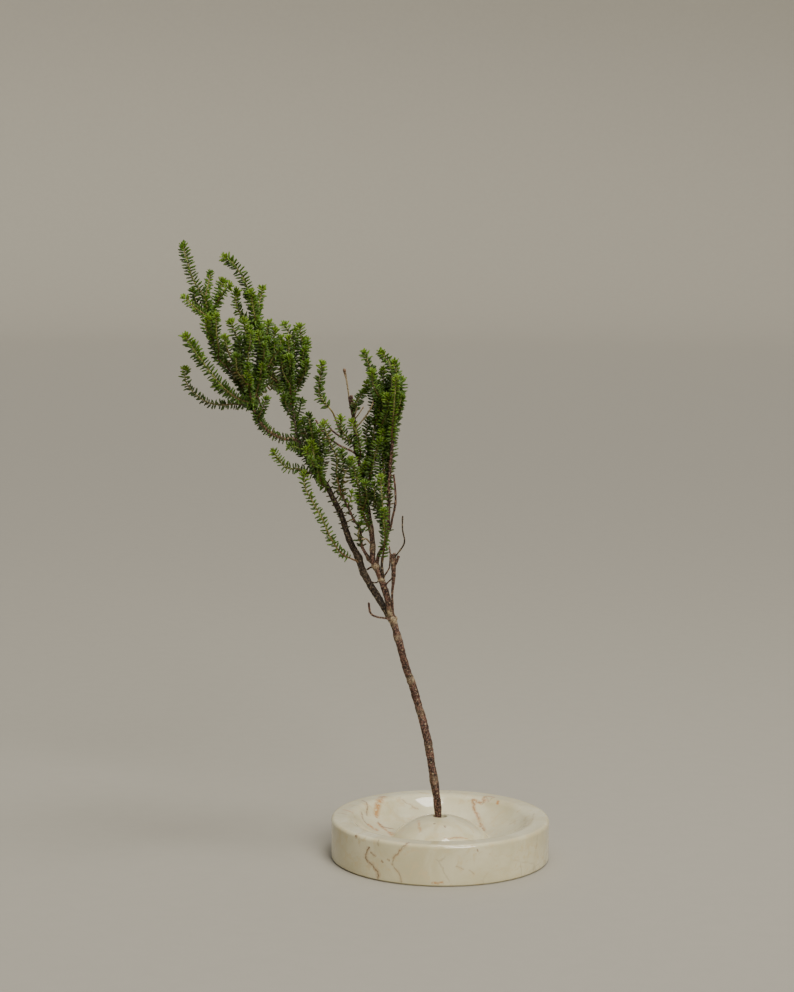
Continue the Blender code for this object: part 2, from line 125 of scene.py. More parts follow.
# Leafy shoots: parent, material slot, half-spread of the leaves, route from foot to tip.
SHOOTS = {
    "shoot_top_left": ("lower_arm", "leaf", 2.3, [
        (-104, -11.3, 253), (-114, -13, 267.5), (-121, -13, 275), (-124, -13, 285.5),
        (-125, -13, 296), (-128.5, -13, 307), (-134, -14, 316.5), (-136.5, -15, 325),
        (-139, -16, 334)]),
    "shoot_spur_top": ("shoot_top_left", "young_leaf", 1.8, [
        (-127.5, -9, 308.5), (-126.5, -6, 313.5), (-125.5, -4, 319.5)]),
    "shoot_bright_top": ("shoot_top_left", "young_leaf", 2.4, [
        (-124, -8, 298), (-122, -4, 305.5), (-119, -1, 315)]),
    "shoot_bright_side": ("shoot_bright_top", "young_leaf", 2.0, [
        (-120, -8, 307), (-117.5, -10, 310.5), (-114.5, -12, 313)]),
    "shoot_outer_left": ("shoot_top_left", "young_leaf", 2.0, [
        (-127, -17, 297.5), (-132, -20, 301.5), (-137.5, -23, 307)]),
    "shoot_dark_left": ("shoot_top_left", "old_leaf", 2.0, [
        (-129.5, -9, 301), (-133, -7, 304.5), (-134.5, -5, 310)]),
    "shoot_crown": ("lower_arm", "leaf", 2.3, [
        (-102.5, -4, 252), (-101, 0, 267.5), (-100.5, 2, 281), (-101.5, 3, 293), (-103.5, 3, 304),
        (-107, 2, 313.5), (-110.5, 0, 320.5), (-114, -2, 325), (-117.5, -5, 328)]),
    "shoot_crown_front": ("shoot_crown", "young_leaf", 2.0, [
        (-102, -3, 296.5), (-103, -4, 302.5), (-104, -5, 309.5)]),
    "shoot_crown_left": ("shoot_crown", "leaf", 2.2, [
        (-105, 8, 293), (-110.5, 11, 297.5), (-113, 12, 303.5), (-113, 13, 309)]),
    "shoot_crown_right": ("shoot_crown", "young_leaf", 2.0, [
        (-100.5, 8, 294), (-100.5, 10, 301.5), (-98.5, 12, 311)]),
    "shoot_mid_left": ("lower_arm", "leaf", 2.4, [
        (-104.5, -14.5, 251), (-110.5, -20, 254), (-117, -23, 259.5), (-123.5, -25, 267.5),
        (-129.5, -26, 275.5), (-134, -27, 282), (-136.5, -28, 287)]),
    "shoot_curl_left": ("lower_arm", "old_leaf", 2.1, [
        (-104.5, -8, 248.5), (-112, -5, 249.5), (-120, -4, 249), (-127.5, -4, 250.5),
        (-134.5, -5, 255.5), (-138.5, -6, 261.5), (-139, -7, 268)]),
    "shoot_inner_a": ("shoot_top_left", "leaf", 1.9, [
        (-120, -18, 279.5), (-121, -20, 287.5), (-121, -22, 297.5)]),
    "shoot_inner_b": ("lower_arm", "leaf", 2.1, [
        (-107, -6, 257.5), (-109.5, -5, 272), (-110.5, -5, 282.5), (-114.5, -6, 293.5)]),
    "shoot_inner_c": ("shoot_top_left", "old_leaf", 1.9, [
        (-109.5, -18, 265), (-112.5, -20, 273), (-115, -22, 279.5), (-116.5, -24, 286.5)]),
    "shoot_inner_d": ("lower_arm", "leaf", 2.1, [
        (-103.5, -15.5, 255), (-105, -18, 267.5), (-104.5, -19, 279.5), (-106.5, -21, 295)]),
    "shoot_inner_e": ("lower_arm", "leaf", 2.0, [
        (-101, -8.5, 253.5), (-97.5, -9, 269.5), (-98, -10, 279), (-100, -11, 287.5)]),
    "shoot_inner_f": ("shoot_crown", "leaf", 2.1, [
        (-99, 4, 258), (-96.5, 7, 270), (-97, 9, 280.5), (-95, 11, 292.5)]),
    "shoot_inner_g": ("upper_arm", "leaf", 2.1, [
        (-86, 16, 252), (-92.5, 12, 263.5), (-93.5, 12, 275), (-92, 12, 288.5)]),
    "shoot_inner_h": ("upper_arm", "old_leaf", 2.0, [
        (-85.5, 21.5, 254), (-87, 22, 267.5), (-88.5, 21, 281)]),
    "shoot_arm_left": ("upper_arm", "leaf", 2.1, [
        (-83.5, 17.5, 252), (-84, 15, 266.5), (-84.5, 15, 284)]),
    "shoot_arm_mid": ("upper_arm", "leaf", 2.1, [
        (-84, 25, 254), (-82.5, 29, 270), (-83, 30, 282), (-87.5, 31, 290.5)]),
    "shoot_arm_right": ("upper_arm", "leaf", 2.2, [
        (-82.5, 21.5, 252), (-78.5, 23, 263.5), (-77, 24, 274.5), (-79, 24, 290)]),
    "shoot_low_a": ("left_limb", "leaf", 2.2, [
        (-68, 8.5, 209.5), (-69.5, 3, 220), (-71, 1, 231), (-73, 0, 243)]),
    "shoot_low_b": ("left_limb", "old_leaf", 2.1, [
        (-72, 15, 215.5), (-76, 18, 226.5), (-79, 19, 237)]),
    "shoot_low_c": ("left_limb", "young_leaf", 2.1, [
        (-66, 8, 205.5), (-68.5, -3, 216), (-71.5, -6, 229)]),
    "shoot_low_small": ("left_limb", "young_leaf", 2.0, [
        (-71.5, 10.5, 210.5), (-79, 7, 213.5), (-85.5, 5, 214.5), (-92, 3, 223)]),
    "shoot_hanging": ("bare_twig_high", "leaf", 2.2, [
        (-56, 12, 232), (-60, 5, 244), (-65, 3, 250.5), (-67.5, 3, 256.5), (-66, 2, 271)]),
    "shoot_mid_small": ("centre_limb", "leaf", 2.0, [
        (-50, 1.5, 229), (-55, -3, 235.5), (-56, -4, 242.5)]),
    "shoot_mid_low": ("fork_twig", "old_leaf", 2.1, [
        (-55.3, -9.4, 202.2), (-57.5, -13, 212.5), (-57.5, -15, 222), (-61.5, -17, 231.5),
        (-64.5, -19, 240.5)]),
    "shoot_centre_front": ("centre_limb", "young_leaf", 2.0, [
        (-45, 1.5, 222), (-46, -3, 231.5), (-50, -5, 240.5)]),
    "shoot_centre_left": ("centre_limb", "young_leaf", 2.1, [
        (-41, -3.5, 184.5), (-44.5, -6, 196.5), (-46, -7, 207), (-49.5, -9, 220.5)]),
    "shoot_low_left": ("left_limb", "young_leaf", 2.1, [
        (-47.5, 6, 163.5), (-55, 2, 168), (-60.5, -1, 176), (-65, -3, 186.5), (-70, -5, 196),
        (-74.5, -7, 205), (-75, -8, 212.5)]),
    "shoot_right_low": ("inner_twig", "leaf", 2.1, [
        (-31.5, -12, 177), (-32, -18, 187.5), (-33, -19, 200), (-34, -19, 212)]),
    "shoot_right_a": ("centre_limb", "leaf", 2.2, [
        (-42, 0.4, 207), (-39, -2, 225), (-37.5, -4, 238.5), (-38, -5, 252.5), (-41.5, -6, 261)]),
    "shoot_right_b": ("right_twig", "leaf", 2.2, [
        (-31, -10.5, 206), (-33.5, -8, 226.5), (-33.5, -9, 242), (-35, -10, 257), (-43, -12, 278)]),
    "shoot_right_c": ("right_twig", "old_leaf", 2.2, [
        (-29.5, -9, 209.5), (-31, -2, 228), (-32, 0, 244), (-33, 2, 268)]),
    "shoot_right_d": ("right_twig", "leaf", 2.2, [
        (-28, -11, 223), (-28.5, -6, 241.5), (-28.5, -5, 256.5), (-29, -6, 270.5), (-34, -8, 278)]),
    "shoot_right_e": ("right_twig", "leaf", 2.2, [
        (-26.8, -14.2, 238.6), (-24.5, -16, 252), (-25, -17, 263), (-27, -18, 273.5)]),
    "shoot_right_f": ("right_twig", "young_leaf", 2.0, [
        (-28, -17, 235), (-27, -22, 251), (-26, -24, 265.5)]),
}

# Sprigs beside the shoots: node that bears it, youth, half-spread of the leaves, route.
SPRIGS = [
    ("shoot_mid_left", 0.7, 2.2, [(-129, -25, 274.5), (-130.5, -21, 278), (-133, -19, 282.5)]),
    ("shoot_crown", 0.15, 2, [(-98.5, 4, 257), (-95.5, 7, 259), (-93, 9, 259), (-89.5, 12, 256.5)]),
    ("shoot_crown", 0.3, 2, [(-101, -2, 266.5), (-97.5, -6, 277.5), (-97.5, -9, 287)]),
    ("shoot_inner_b", 0.45, 2.1, [(-109, -8, 270), (-105.5, -12, 281.5), (-104, -14, 290.5)]),
    ("shoot_inner_d", 0.2, 2.1, [(-104.5, -20, 261), (-109.5, -24, 268), (-110.5, -26, 276.5)]),
    ("shoot_inner_f", 0.15, 2.1, [(-97, 6, 266), (-92, 3, 274.5), (-88.5, 0, 278.5)]),
    ("shoot_inner_f", 0.55, 2, [(-96.5, 8, 272.5), (-100.5, 14, 280), (-99, 17, 290)]),
    ("shoot_inner_g", 0.15, 2.1, [(-90, 11, 260), (-95.5, 7, 265), (-97.5, 4, 272.5)]),
    ("shoot_inner_g", 0.5, 2, [(-93, 12, 270.5), (-89, 14, 278), (-89, 16, 284)]),
    ("shoot_inner_h", 0.35, 2, [(-87, 22, 265), (-90.5, 26, 273.5), (-91.5, 28, 281)]),
    ("shoot_arm_left", 0.3, 2, [(-84, 15, 258.5), (-87.5, 11, 266), (-88.5, 9, 274)]),
    ("shoot_arm_mid", 0.6, 2, [(-82.5, 30, 275.5), (-81, 33, 281.5), (-81.5, 35, 287)]),
    ("shoot_arm_right", 0.45, 2, [(-77.5, 24, 270.5), (-75.5, 26, 277), (-75, 28, 282)]),
    ("shoot_arm_right", 0.25, 2, [(-80, 22, 258), (-76, 18, 264.5), (-75, 16, 271)]),
    ("shoot_top_left", 0.35, 2.1, [(-116.5, -12, 270.5), (-119, -6, 277.5), (-117.5, -2, 283)]),
    ("shoot_top_left", 0.6, 2, [(-124, -14, 285.5), (-127, -18, 291), (-125.5, -20, 296)]),
    ("shoot_inner_c", 0.25, 2, [(-112.5, -19, 272), (-109, -16, 277.5), (-109, -14, 284)]),
    ("shoot_right_a", 0.3, 2.1, [(-39, 0, 222), (-42, 3, 231), (-41, 6, 240.5)]),
    ("shoot_right_a", 0.35, 2.1, [(-37.5, -5, 239), (-35, -9, 246.5), (-35.5, -11, 255)]),
    ("shoot_right_b", 0.6, 2.1, [(-33.5, -10, 239.5), (-30, -16, 247.5), (-30.5, -19, 255.5)]),
    ("shoot_right_b", 0.45, 2.1, [(-34, -11, 253), (-38, -15, 260.5), (-39, -17, 268)]),
    ("shoot_right_c", 0.2, 2.1, [(-31, 0, 225), (-35, 5, 232), (-35, 8, 240.5)]),
    ("shoot_right_c", 0.3, 2.1, [(-32, 1, 243.5), (-36, 6, 250.5), (-36, 9, 260)]),
    ("shoot_right_d", 0.4, 2.1, [(-28.5, -6, 244.5), (-31.5, -2, 251), (-31, 0, 259.5)]),
    ("shoot_right_e", 0.35, 2.1, [(-26, -17, 245.5), (-24.5, -12, 251), (-24, -10, 257)]),
    ("shoot_right_d", 0.2, 2, [(-28.5, -7, 231), (-26.5, -3, 237), (-26, -1, 244)]),
    ("shoot_right_low", 0.25, 2.1, [(-32.5, -17, 191.5), (-36.5, -14, 199.5), (-37.5, -12, 207.5)]),
    ("right_twig", 0.15, 2.1, [(-30, -10, 182.5), (-34.5, -6, 190), (-37, -4, 196.5), (-38, -3, 202)]),
    ("right_twig", 0.25, 2, [(-29.5, -11, 199), (-33, -7, 208.5), (-34.5, -5, 219), (-33.5, -4, 227.5)]),
    ("centre_limb", 0.7, 2, [(-44.5, 1, 211.5), (-43, -4, 214.5), (-42, -6, 217.5)]),
    ("needle_twig", 0.35, 2.1, [(-40, -7, 209.5), (-38.5, -10, 216.5), (-36.5, -12, 225),
        (-34.5, -13, 231.5)]),
    ("needle_twig", 0.1, 2, [(-41, -4, 203.5), (-38, -8, 198), (-35, -9, 197.5)]),
    ("centre_limb", 0.3, 2, [(-48.5, 2, 246), (-47, -2, 251), (-43.5, -5, 256.5)]),
    ("fork_twig", 0.12, 2.1, [(-54.5, -9, 205), (-53.5, -12, 212), (-50.5, -14, 218.5)]),
    ("fork_twig", 0.5, 2, [(-52, -5, 194.5), (-50, -9, 198.5), (-49.5, -11, 202.5)]),
    ("fork_twig", 0.15, 2, [(-44, 2, 172.5), (-46, -2, 178), (-45, -4, 185)]),
    ("shoot_centre_left", 0.25, 2, [(-43.5, -6, 192), (-41.5, -10, 200.5), (-42.5, -12, 208)]),
    ("shoot_centre_left", 0.3, 2, [(-46, -6, 206), (-49.5, -2, 211), (-51, 0, 218)]),
    ("shoot_mid_low", 0.2, 2, [(-57, -12, 211), (-54, -9, 217), (-55, -7, 224.5)]),
    ("shoot_low_a", 0.3, 2.1, [(-69.5, 3, 220), (-67, -1, 227), (-67.5, -3, 234.5)]),
    ("shoot_low_a", 0.2, 2.1, [(-70.5, 2, 227), (-74.5, 5, 232.5), (-76, 7, 240)]),
    ("shoot_low_b", 0.15, 2, [(-75, 17, 221.5), (-72.5, 21, 228), (-71.5, 23, 234.5)]),
    ("shoot_low_c", 0.55, 2.1, [(-68, -2, 214), (-71.5, -6, 220), (-74, -8, 225.5)]),
    ("shoot_low_c", 0.3, 2.1, [(-69, -4, 218.5), (-65.5, -1, 223.5), (-64.5, 1, 229)]),
    ("left_limb", 0.12, 2.1, [(-67, 13, 209), (-66, 17, 215), (-64.5, 19, 221.5)]),
    ("left_limb", 0.2, 2.1, [(-73.5, 13, 217.5), (-78, 16, 222), (-80, 18, 226)]),
    ("left_limb", 0.3, 2, [(-76.5, 9, 223), (-79.5, 4, 225.5), (-83, 1, 226.5)]),
    ("lower_arm", 0.2, 2, [(-95, 0, 235), (-98.5, 5, 237.5), (-102, 9, 243)]),
    ("lower_arm", 0.3, 2, [(-100, -8, 242), (-97, -13, 248), (-95, -15, 253)]),
    ("upper_arm", 0.2, 2, [(-81.5, 17, 239), (-79, 21, 244), (-78, 24, 249)]),
    ("upper_arm", 0.2, 2, [(-82.5, 19, 242), (-85.5, 15, 247), (-87, 13, 252)]),
]

# Short bare twigs: node that bears it, material slot, radii, route.
TWIGLETS = [
    ("middle_limb", "bark", [0.4, 0.35], [(-33.5, 0, 154), (-36, 2, 152), (-39, 4, 152)]),
    ("centre_limb", "pale_bark", [0.4, 0.45], [(-39.5, -3, 174.5), (-41.5, -5, 177), (-44, -6, 177)]),
    ("middle_limb", "bark", [0.6, 0.5], [(-35.5, -2, 161), (-39, 1, 160.5), (-41, 3, 159)]),
    ("centre_limb", "bark", [0.5, 0.7], [(-49, 2, 247.5), (-49.5, 1, 251), (-50, 0, 254)]),
    ("side_stub", "bark", [0.6, 0.75], [(-26.5, -9, 162), (-25, -10, 165.5), (-24, -11, 168.5)]),
    ("middle_limb", "bark", [0.45, 0.35], [(-30, -2, 152.5), (-28, -5, 155), (-26.5, -7, 158)]),
    ("centre_limb", "pale_bark", [0.35, 0.3], [(-48.5, 1, 242), (-47.5, -2, 245.5), (-47, -3, 247.5)]),
    ("centre_limb", "pale_bark", [0.35, 0.3], [(-48, 1, 241.5), (-46, -4, 244.5), (-43.5, -6, 248.5)]),
    ("right_twig", "pale_bark", [0.4, 0.3], [(-27, -14, 237.5), (-27.5, -15, 240.5), (-28, -15, 243.5)]),
    ("centre_limb", "bark", [0.3, 0.25], [(-40.5, 0, 213.5), (-37.5, -3, 211.5), (-34.5, -6, 208.5)]),
    ("lower_arm", "bark", [0.35, 0.3], [(-101, -10, 244.5), (-98.5, -12, 249.5), (-99.5, -14, 254.5)]),
]

# Side sprigs that each shoot has besides, placed by rule.
SIDE_SPRIGS = {
    "shoot_top_left": 3, "shoot_crown": 7, "shoot_mid_left": 1, "shoot_inner_b": 5,
    "shoot_inner_d": 5, "shoot_inner_e": 6, "shoot_inner_f": 6, "shoot_inner_g": 6,
    "shoot_inner_h": 4, "shoot_arm_left": 4, "shoot_arm_mid": 3, "shoot_arm_right": 3,
    "shoot_low_a": 3, "shoot_low_b": 2, "shoot_low_c": 2, "shoot_right_a": 3,
    "shoot_right_b": 3, "shoot_right_c": 3, "shoot_right_d": 3, "shoot_right_e": 2,
    "shoot_right_low": 1, "shoot_centre_left": 1,
}

# Youth of a shoot's leaves by its slot and then by name; youth of the tip, where it isn't bright. The youth
# by name of shoot_crown_left is painted light: it brightens leaves that lie in the shade of the shoots round
# it.
YOUTH = {"leaf": 0.42, "young_leaf": 0.62, "old_leaf": 0.2}
SHOOT_YOUTH_AND_PAINTED_LIGHT = {"shoot_crown_left": 0.65, "shoot_curl_left": 0.36, "shoot_right_c": 0.4}
BRIGHT_TIP = 0.95
TIP_YOUTH = {
    "shoot_top_left": 0.6, "shoot_spur_top": 0.6, "shoot_low_a": 0.4, "shoot_dark_left": 0.6,
}

# Bare length in mm at the foot of a shoot, and gap in mm between its pairs of leaves.
SHOOT_START = {"shoot_low_left": 8.0, "shoot_hanging": 22.0, "shoot_right_low": 4.0}
SHOOT_GAP = {"shoot_low_left": 1.1, "shoot_right_low": 1.1, "shoot_curl_left": 1.2, "fork_twig": 1.9}

# Limbs with leaves of their own: where these start and end in mm, gap, half-spread, youth.
LEAFY_LIMBS = {
    "lower_arm": (3.0, 99.0, 1.0, 2.0, 0.3),
    "upper_arm": (2.0, 99.0, 0.95, 2.1, 0.35),
    "left_limb": (58.0, 99.0, 1.7, 1.9, 0.08),
    "fork_twig": (14.0, 99.0, 2.6, 2.0, 0.2),
    "right_twig": (36.0, 66.0, 1.9, 1.7, 0.12),
    "centre_limb": (34.0, 62.0, 2.6, 1.7, 0.15),
}


# ---------------------------------------------------------------- paths


def smooth_path(points):
    """Evenly spaced points on the smooth curve through a route's points, in mm."""
    points = np.array(points, float)
    padded = np.vstack([2 * points[0] - points[1], points, 2 * points[-1] - points[-2]])
    fine = []
    for index in range(len(points) - 1):
        before, here, after, later = padded[index : index + 4]
        part = np.linspace(0, 1, 60, endpoint=False)[:, None]
        fine.append(
            0.5
            * (
                2 * here
                + (after - before) * part
                + (2 * before - 5 * here + 4 * after - later) * part**2
                + (3 * here - before - 3 * after + later) * part**3
            )
        )
    fine = np.vstack(fine + [points[-1:]])
    along = np.concatenate([[0], np.cumsum(np.linalg.norm(np.diff(fine, axis=0), axis=1))])
    count = max(8, round(along[-1] / PATH_STEP) + 1)
    even = np.linspace(0, along[-1], count)
    return np.stack([np.interp(even, along, fine[:, axis]) for axis in range(3)], axis=1)


def rooted(route, parent_path):
    """A route that begins inside its parent, on the parent's axis a little below its own foot."""
    foot = np.array(route[0], float)
    gaps = np.linalg.norm(parent_path - foot, axis=1)
    nearest = int(gaps.argmin())
    back = int(min(gaps[nearest] * 0.9, 4.0) / PATH_STEP)
    return [tuple(parent_path[max(0, nearest - back)])] + list(route)


def path_frames(path):
    """Tangents of a path, and two directions across it that turn as little as they can."""
    tangents = np.gradient(path, axis=0)
    tangents /= np.linalg.norm(tangents, axis=1)[:, None]
    side = np.cross(tangents[0], (0.3, 0.9, 0.31))
    sides = []
    for tangent in tangents:
        side = side - tangent * side.dot(tangent)
        side = side / np.linalg.norm(side)
        sides.append(side)
    sides = np.array(sides)
    return tangents, sides, np.cross(tangents, sides)


def even_values(values, count):
    return np.interp(np.linspace(0, 1, count), np.linspace(0, 1, len(values)), values)


# ---------------------------------------------------------------- meshes


def add_object(name, data):
    made = bpy.data.objects.new(name, data)
    bpy.context.scene.collection.objects.link(made)
    return made


class Shape:
    """Vertices, faces and named values at the vertices, gathered from several closed forms."""

    def __init__(self):
        self.vertices = []
        self.faces = []
        self.values = {}
        self.count = 0

    def add(self, vertices, faces, **values):
        self.vertices.append(np.asarray(vertices, float))
        self.faces.extend([tuple(int(corner) + self.count for corner in face) for face in faces])
        for name in set(self.values) | set(values):
            rows = self.values.setdefault(name, [np.zeros(self.count)] if self.count else [])
            value = values.get(name, 0.0)
            rows.append(np.broadcast_to(np.asarray(value, float), (len(vertices),)).copy())
        self.count += len(vertices)

    def make(self, name, material):
        """The shape as an object in metres, shaded smooth."""
        mesh = bpy.data.meshes.new(name)
        mesh.from_pydata((np.vstack(self.vertices) * MM).tolist(), [], self.faces)
        for title, rows in self.values.items():
            attribute = mesh.attributes.new(title, "FLOAT", "POINT")
            attribute.data.foreach_set("value", np.concatenate(rows).astype(np.float32))
        mesh.materials.append(material)
        mesh.shade_smooth()
        mesh.update()
        return add_object(name, mesh)


def tube_faces(rings, sides):
    """Faces of a closed tube whose two last vertices are the middles of its ends."""
    faces = []
    for ring in range(rings - 1):
        for side in range(sides):
            after = (side + 1) % sides
            low, high = ring * sides, (ring + 1) * sides
            faces.append((low + side, low + after, high + after, high + side))
    first, last = rings * sides, rings * sides + 1
    top = (rings - 1) * sides
    for side in range(sides):
        after = (side + 1) % sides
        faces.append((first, after, side))
        faces.append((last, top + side, top + after))
    return faces


def ring_noise(angles, scale, along, step, shift):
    """Noise on a tube: a row for each place along it and a column for each angle round it."""
    x, y = shift
    return np.array([
        [
            noise.noise(Vector((math.cos(a) * scale + x, math.sin(a) * scale + y, z * step)))
            for a in angles
        ]
        for z in along
    ])


def leaf_scars(along, angles, radius, length, gap, rng):
    """How far each point of a tube lies on a leaf scar, from 0 to 1. Scars are in crossed pairs."""
    scars = np.zeros((len(along), len(angles)))
    place = rng.uniform(0.3, 1.0) * gap
    turn = rng.uniform(0, math.pi)
    while place < length - 0.3 * gap:
        for half in (0, math.pi):
            middle = turn + half + rng.uniform(-0.25, 0.25)
            spot = place + rng.uniform(-0.2, 0.2) * gap
            ahead = (along[:, None] - spot) / SCAR_LENGTH
            around = np.mod(angles[None, :] - middle + math.pi, 2 * math.pi) - math.pi
            around = around * radius[:, None] / SCAR_WIDTH
            bump = np.exp(-(ahead**2) - around**2)
            scars = np.maximum(scars, bump * rng.uniform(0.4, 1.0))
        turn += math.pi / 2 + rng.uniform(-0.2, 0.2)
        place += gap * rng.uniform(0.8, 1.2)
    return scars


def swell_knots(spread, along, angles, length, pale, knots):
    """Swells a tube at its knots, and returns how pale each of its points is."""
    paleness = np.full(spread.shape, float(pale))
    for part, swell, reach, whiteness in knots:
        bulge = np.exp(-(((along - part * length) / reach) ** 2))[:, None]
        lump = ring_noise(angles, 1.3, along, 0.4, (part * 9, 0.0))
        spread *= 1 + bulge * swell * (1 + 0.8 * lump)
        if whiteness < 0:
            paleness *= 1 + bulge * whiteness
        paleness = np.maximum(paleness, bulge * whiteness * (1 + 1.2 * lump))
    return paleness


def add_bark_tube(
    shape, path, radii, rng, sides, step, scar_gap, scar_height, pale=0.0, knots=(), tip="round"
):
    """A woody tube with ridges, leaf scars, knots and a rounded or broken tip."""
    length = PATH_STEP * (len(path) - 1)
    rings = max(6, round(length / step) + 1)
    index = np.linspace(0, len(path) - 1, rings)
    pick = np.round(index).astype(int)
    tangents, across, upward = path_frames(path)
    places = np.arange(len(path))
    centres = np.stack([np.interp(index, places, path[:, axis]) for axis in range(3)], axis=1)
    along = index * PATH_STEP
    radius = even_values(radii, rings)
    angles = np.linspace(0, 2 * math.pi, sides, endpoint=False)
    seed = rng.uniform(0, 100)
    broad = ring_noise(angles, 1.6, along, 0.16, (seed, 0.0))
    fine = ring_noise(angles, 4.0, along, 0.55, (0.0, seed))
    spread = radius[:, None] * (1 + 0.20 * broad + 0.16 * fine)
    scars = leaf_scars(along, angles, radius, length, scar_gap, rng)
    spread += scars * scar_height
    paleness = swell_knots(spread, along, angles, length, pale, knots)
    if tip == "round":
        close = np.clip((length - along) / (radius[-1] * 1.1), 0.0, 1.0)
        spread *= np.sqrt(1 - (1 - close) ** 2 * 0.92)[:, None]
    else:
        spread[-1] *= 0.93 + 0.25 * ring_noise(angles, 3, (7.0,), 1.0, (seed, 0.0))[0]
        spread[-2] *= 1.02
    outward = (
        np.cos(angles)[None, :, None] * across[pick][:, None, :]
        + np.sin(angles)[None, :, None] * upward[pick][:, None, :]
    )
    points = centres[:, None, :] + spread[:, :, None] * outward
    if tip == "broken":
        lift = 0.5 + 0.9 * ring_noise(angles, 2, (3.0,), 1.0, (0.0, seed))[0]
        points[-1] += tangents[-1] * (lift * radius[-1])[:, None]
    top = centres[-1:] + tangents[-1] * radius[-1] * 0.25
    shape.add(
        np.vstack([points.reshape(-1, 3), centres[:1], top]),
        tube_faces(rings, sides),
        scar=np.concatenate([scars.ravel(), [0.0, 0.0]]),
        pale=np.concatenate([np.clip(paleness, 0, 1).ravel(), [pale, min(1.0, pale + 0.35)]]),
        along=np.concatenate([np.repeat(along, sides) / max(length, 1), [0.0, 1.0]]),
    )


# ---------------------------------------------------------------- leaves

LEAF_STATIONS = (0.0, 0.1, 0.3, 0.55, 0.8, 0.94)
LEAF_WIDTHS = (0.42, 0.75, 1.0, 1.0, 0.82, 0.48)
LEAF_SECTION = ((-1.0, 0.18), (0.0, 0.0), (1.0, 0.18), (0.72, -0.5), (0.0, -0.82), (-0.72, -0.5))
LEAF_GAP = 0.84  # mm between the pairs of a shoot
LEAF_LENGTH = 1.56  # as part of the half-spread of a shoot
LEAF_HALF_WIDTH = 0.175  # as part of a leaf's length
LEAF_THICKNESS = 0.25
LEAF_ANGLE = 66.0  # degrees from the twig, less LEAF_CLOSING at a shoot's tip
LEAF_CLOSING = 16.0
CLOSING_LENGTH = 4.5  # mm before a shoot's tip over which its leaves close up
BRIGHT_LENGTH = 7.0  # mm before a shoot's tip over which its leaves grow brighter
BARE_FOOT = 1.2  # mm at a shoot's foot without leaves
BUD_LEAVES = 8


def leaf_form(curl):
    """A leaf one unit long as (vertices, faces, along, keel): flat above, keeled beneath."""
    vertices, along, keel = [], [], []
    for station, width in zip(LEAF_STATIONS, LEAF_WIDTHS):
        for across, rise in LEAF_SECTION:
            lift = curl * station**2
            side = across * width * LEAF_HALF_WIDTH
            vertices.append((station, side, lift + rise * width * LEAF_THICKNESS))
            along.append(station)
            keel.append(1.0 if across == 0.0 else 0.0)
    vertices += [(-0.04, 0.0, -0.06), (1.02, 0.0, curl - 0.05)]
    along += [0.0, 1.0]
    keel += [0.0, 1.0]
    sides = len(LEAF_SECTION)
    return np.array(vertices), tube_faces(len(LEAF_STATIONS), sides), np.array(along), np.array(keel)


LEAF_FORMS = [leaf_form(curl) for curl in (-0.3, -0.2, -0.1, 0.02)]


def turned(first, second, angle):
    cos, sin = math.cos(angle), math.sin(angle)
    return cos * first + sin * second, cos * second - sin * first


def add_leaf(shape, foot, tangent, outward, angle, length, rng, youth):
    """One leaf at a foot on its twig, leaning outward from the twig's tangent by an angle."""
    vertices, faces, along, keel = LEAF_FORMS[rng.randrange(len(LEAF_FORMS))]
    ahead = math.cos(angle) * tangent + math.sin(angle) * outward
    above = math.sin(angle) * tangent - math.cos(angle) * outward
    sideways = np.cross(above, ahead)
    sideways, above = turned(sideways, above, rng.uniform(-0.6, 0.6))
    ahead, sideways = turned(ahead, sideways, rng.uniform(-0.2, 0.2))
    placed = foot + length * (
        vertices[:, :1] * ahead + vertices[:, 1:2] * sideways + vertices[:, 2:] * above
    )
    shape.add(placed, faces, along=along, keel=keel, youth=youth, tone=rng.random())


def add_leaves(
    leaves, path, size, youth, tip_youth, rng, start=BARE_FOOT, end=None, gap=LEAF_GAP, twig=0.4
):
    """Leaves in crossed pairs along a path, closer and more upright near the tip of a shoot.

    Where an end is given, the path is a limb's and its leaves stop there without a tuft.
    """
    length = PATH_STEP * (len(path) - 1)
    tangents, across, upward = path_frames(path)
    place = start
    turn = rng.uniform(0, math.pi)
    full = size * LEAF_LENGTH
    while place < min(length, end or length):
        index = min(len(path) - 1, int(place / PATH_STEP))
        left = 99.0 if end else length - place
        near_tip = max(0.0, 1 - left / CLOSING_LENGTH)
        angle = math.radians(LEAF_ANGLE - LEAF_CLOSING * near_tip**1.3)
        reach = full * (1 + 0.04 * near_tip)
        bright = youth + (tip_youth - youth) * max(0.0, 1 - left / BRIGHT_LENGTH) ** 1.3
        for half in (0, math.pi):
            around = turn + half + rng.uniform(-0.25, 0.25)
            outward = math.cos(around) * across[index] + math.sin(around) * upward[index]
            foot = path[index] + outward * twig * (0.85 - 0.4 * near_tip)
            lean = angle + rng.uniform(-0.2, 0.2)
            add_leaf(
                leaves, foot, tangents[index], outward, lean,
                reach * rng.uniform(0.82, 1.1), rng, bright + rng.uniform(-0.1, 0.1),
            )
        turn += math.pi / 2 + rng.uniform(-0.12, 0.12)
        place += gap * (1 - 0.4 * near_tip) * rng.uniform(0.85, 1.15)
    if end:
        return
    for bud in range(BUD_LEAVES):
        around = bud * math.pi / 4 + turn
        outward = math.cos(around) * across[-1] + math.sin(around) * upward[-1]
        lean = math.radians((18, 42)[bud % 2])
        add_leaf(
            leaves, path[-1], tangents[-1], outward, lean,
            full * 0.85 * rng.uniform(0.8, 1.1), rng, tip_youth,
        )


# ---------------------------------------------------------------- materials


def new_material(name):
    material = bpy.data.materials.new(name)
    material.use_nodes = True
    return material, material.node_tree, material.node_tree.nodes["Principled BSDF"]


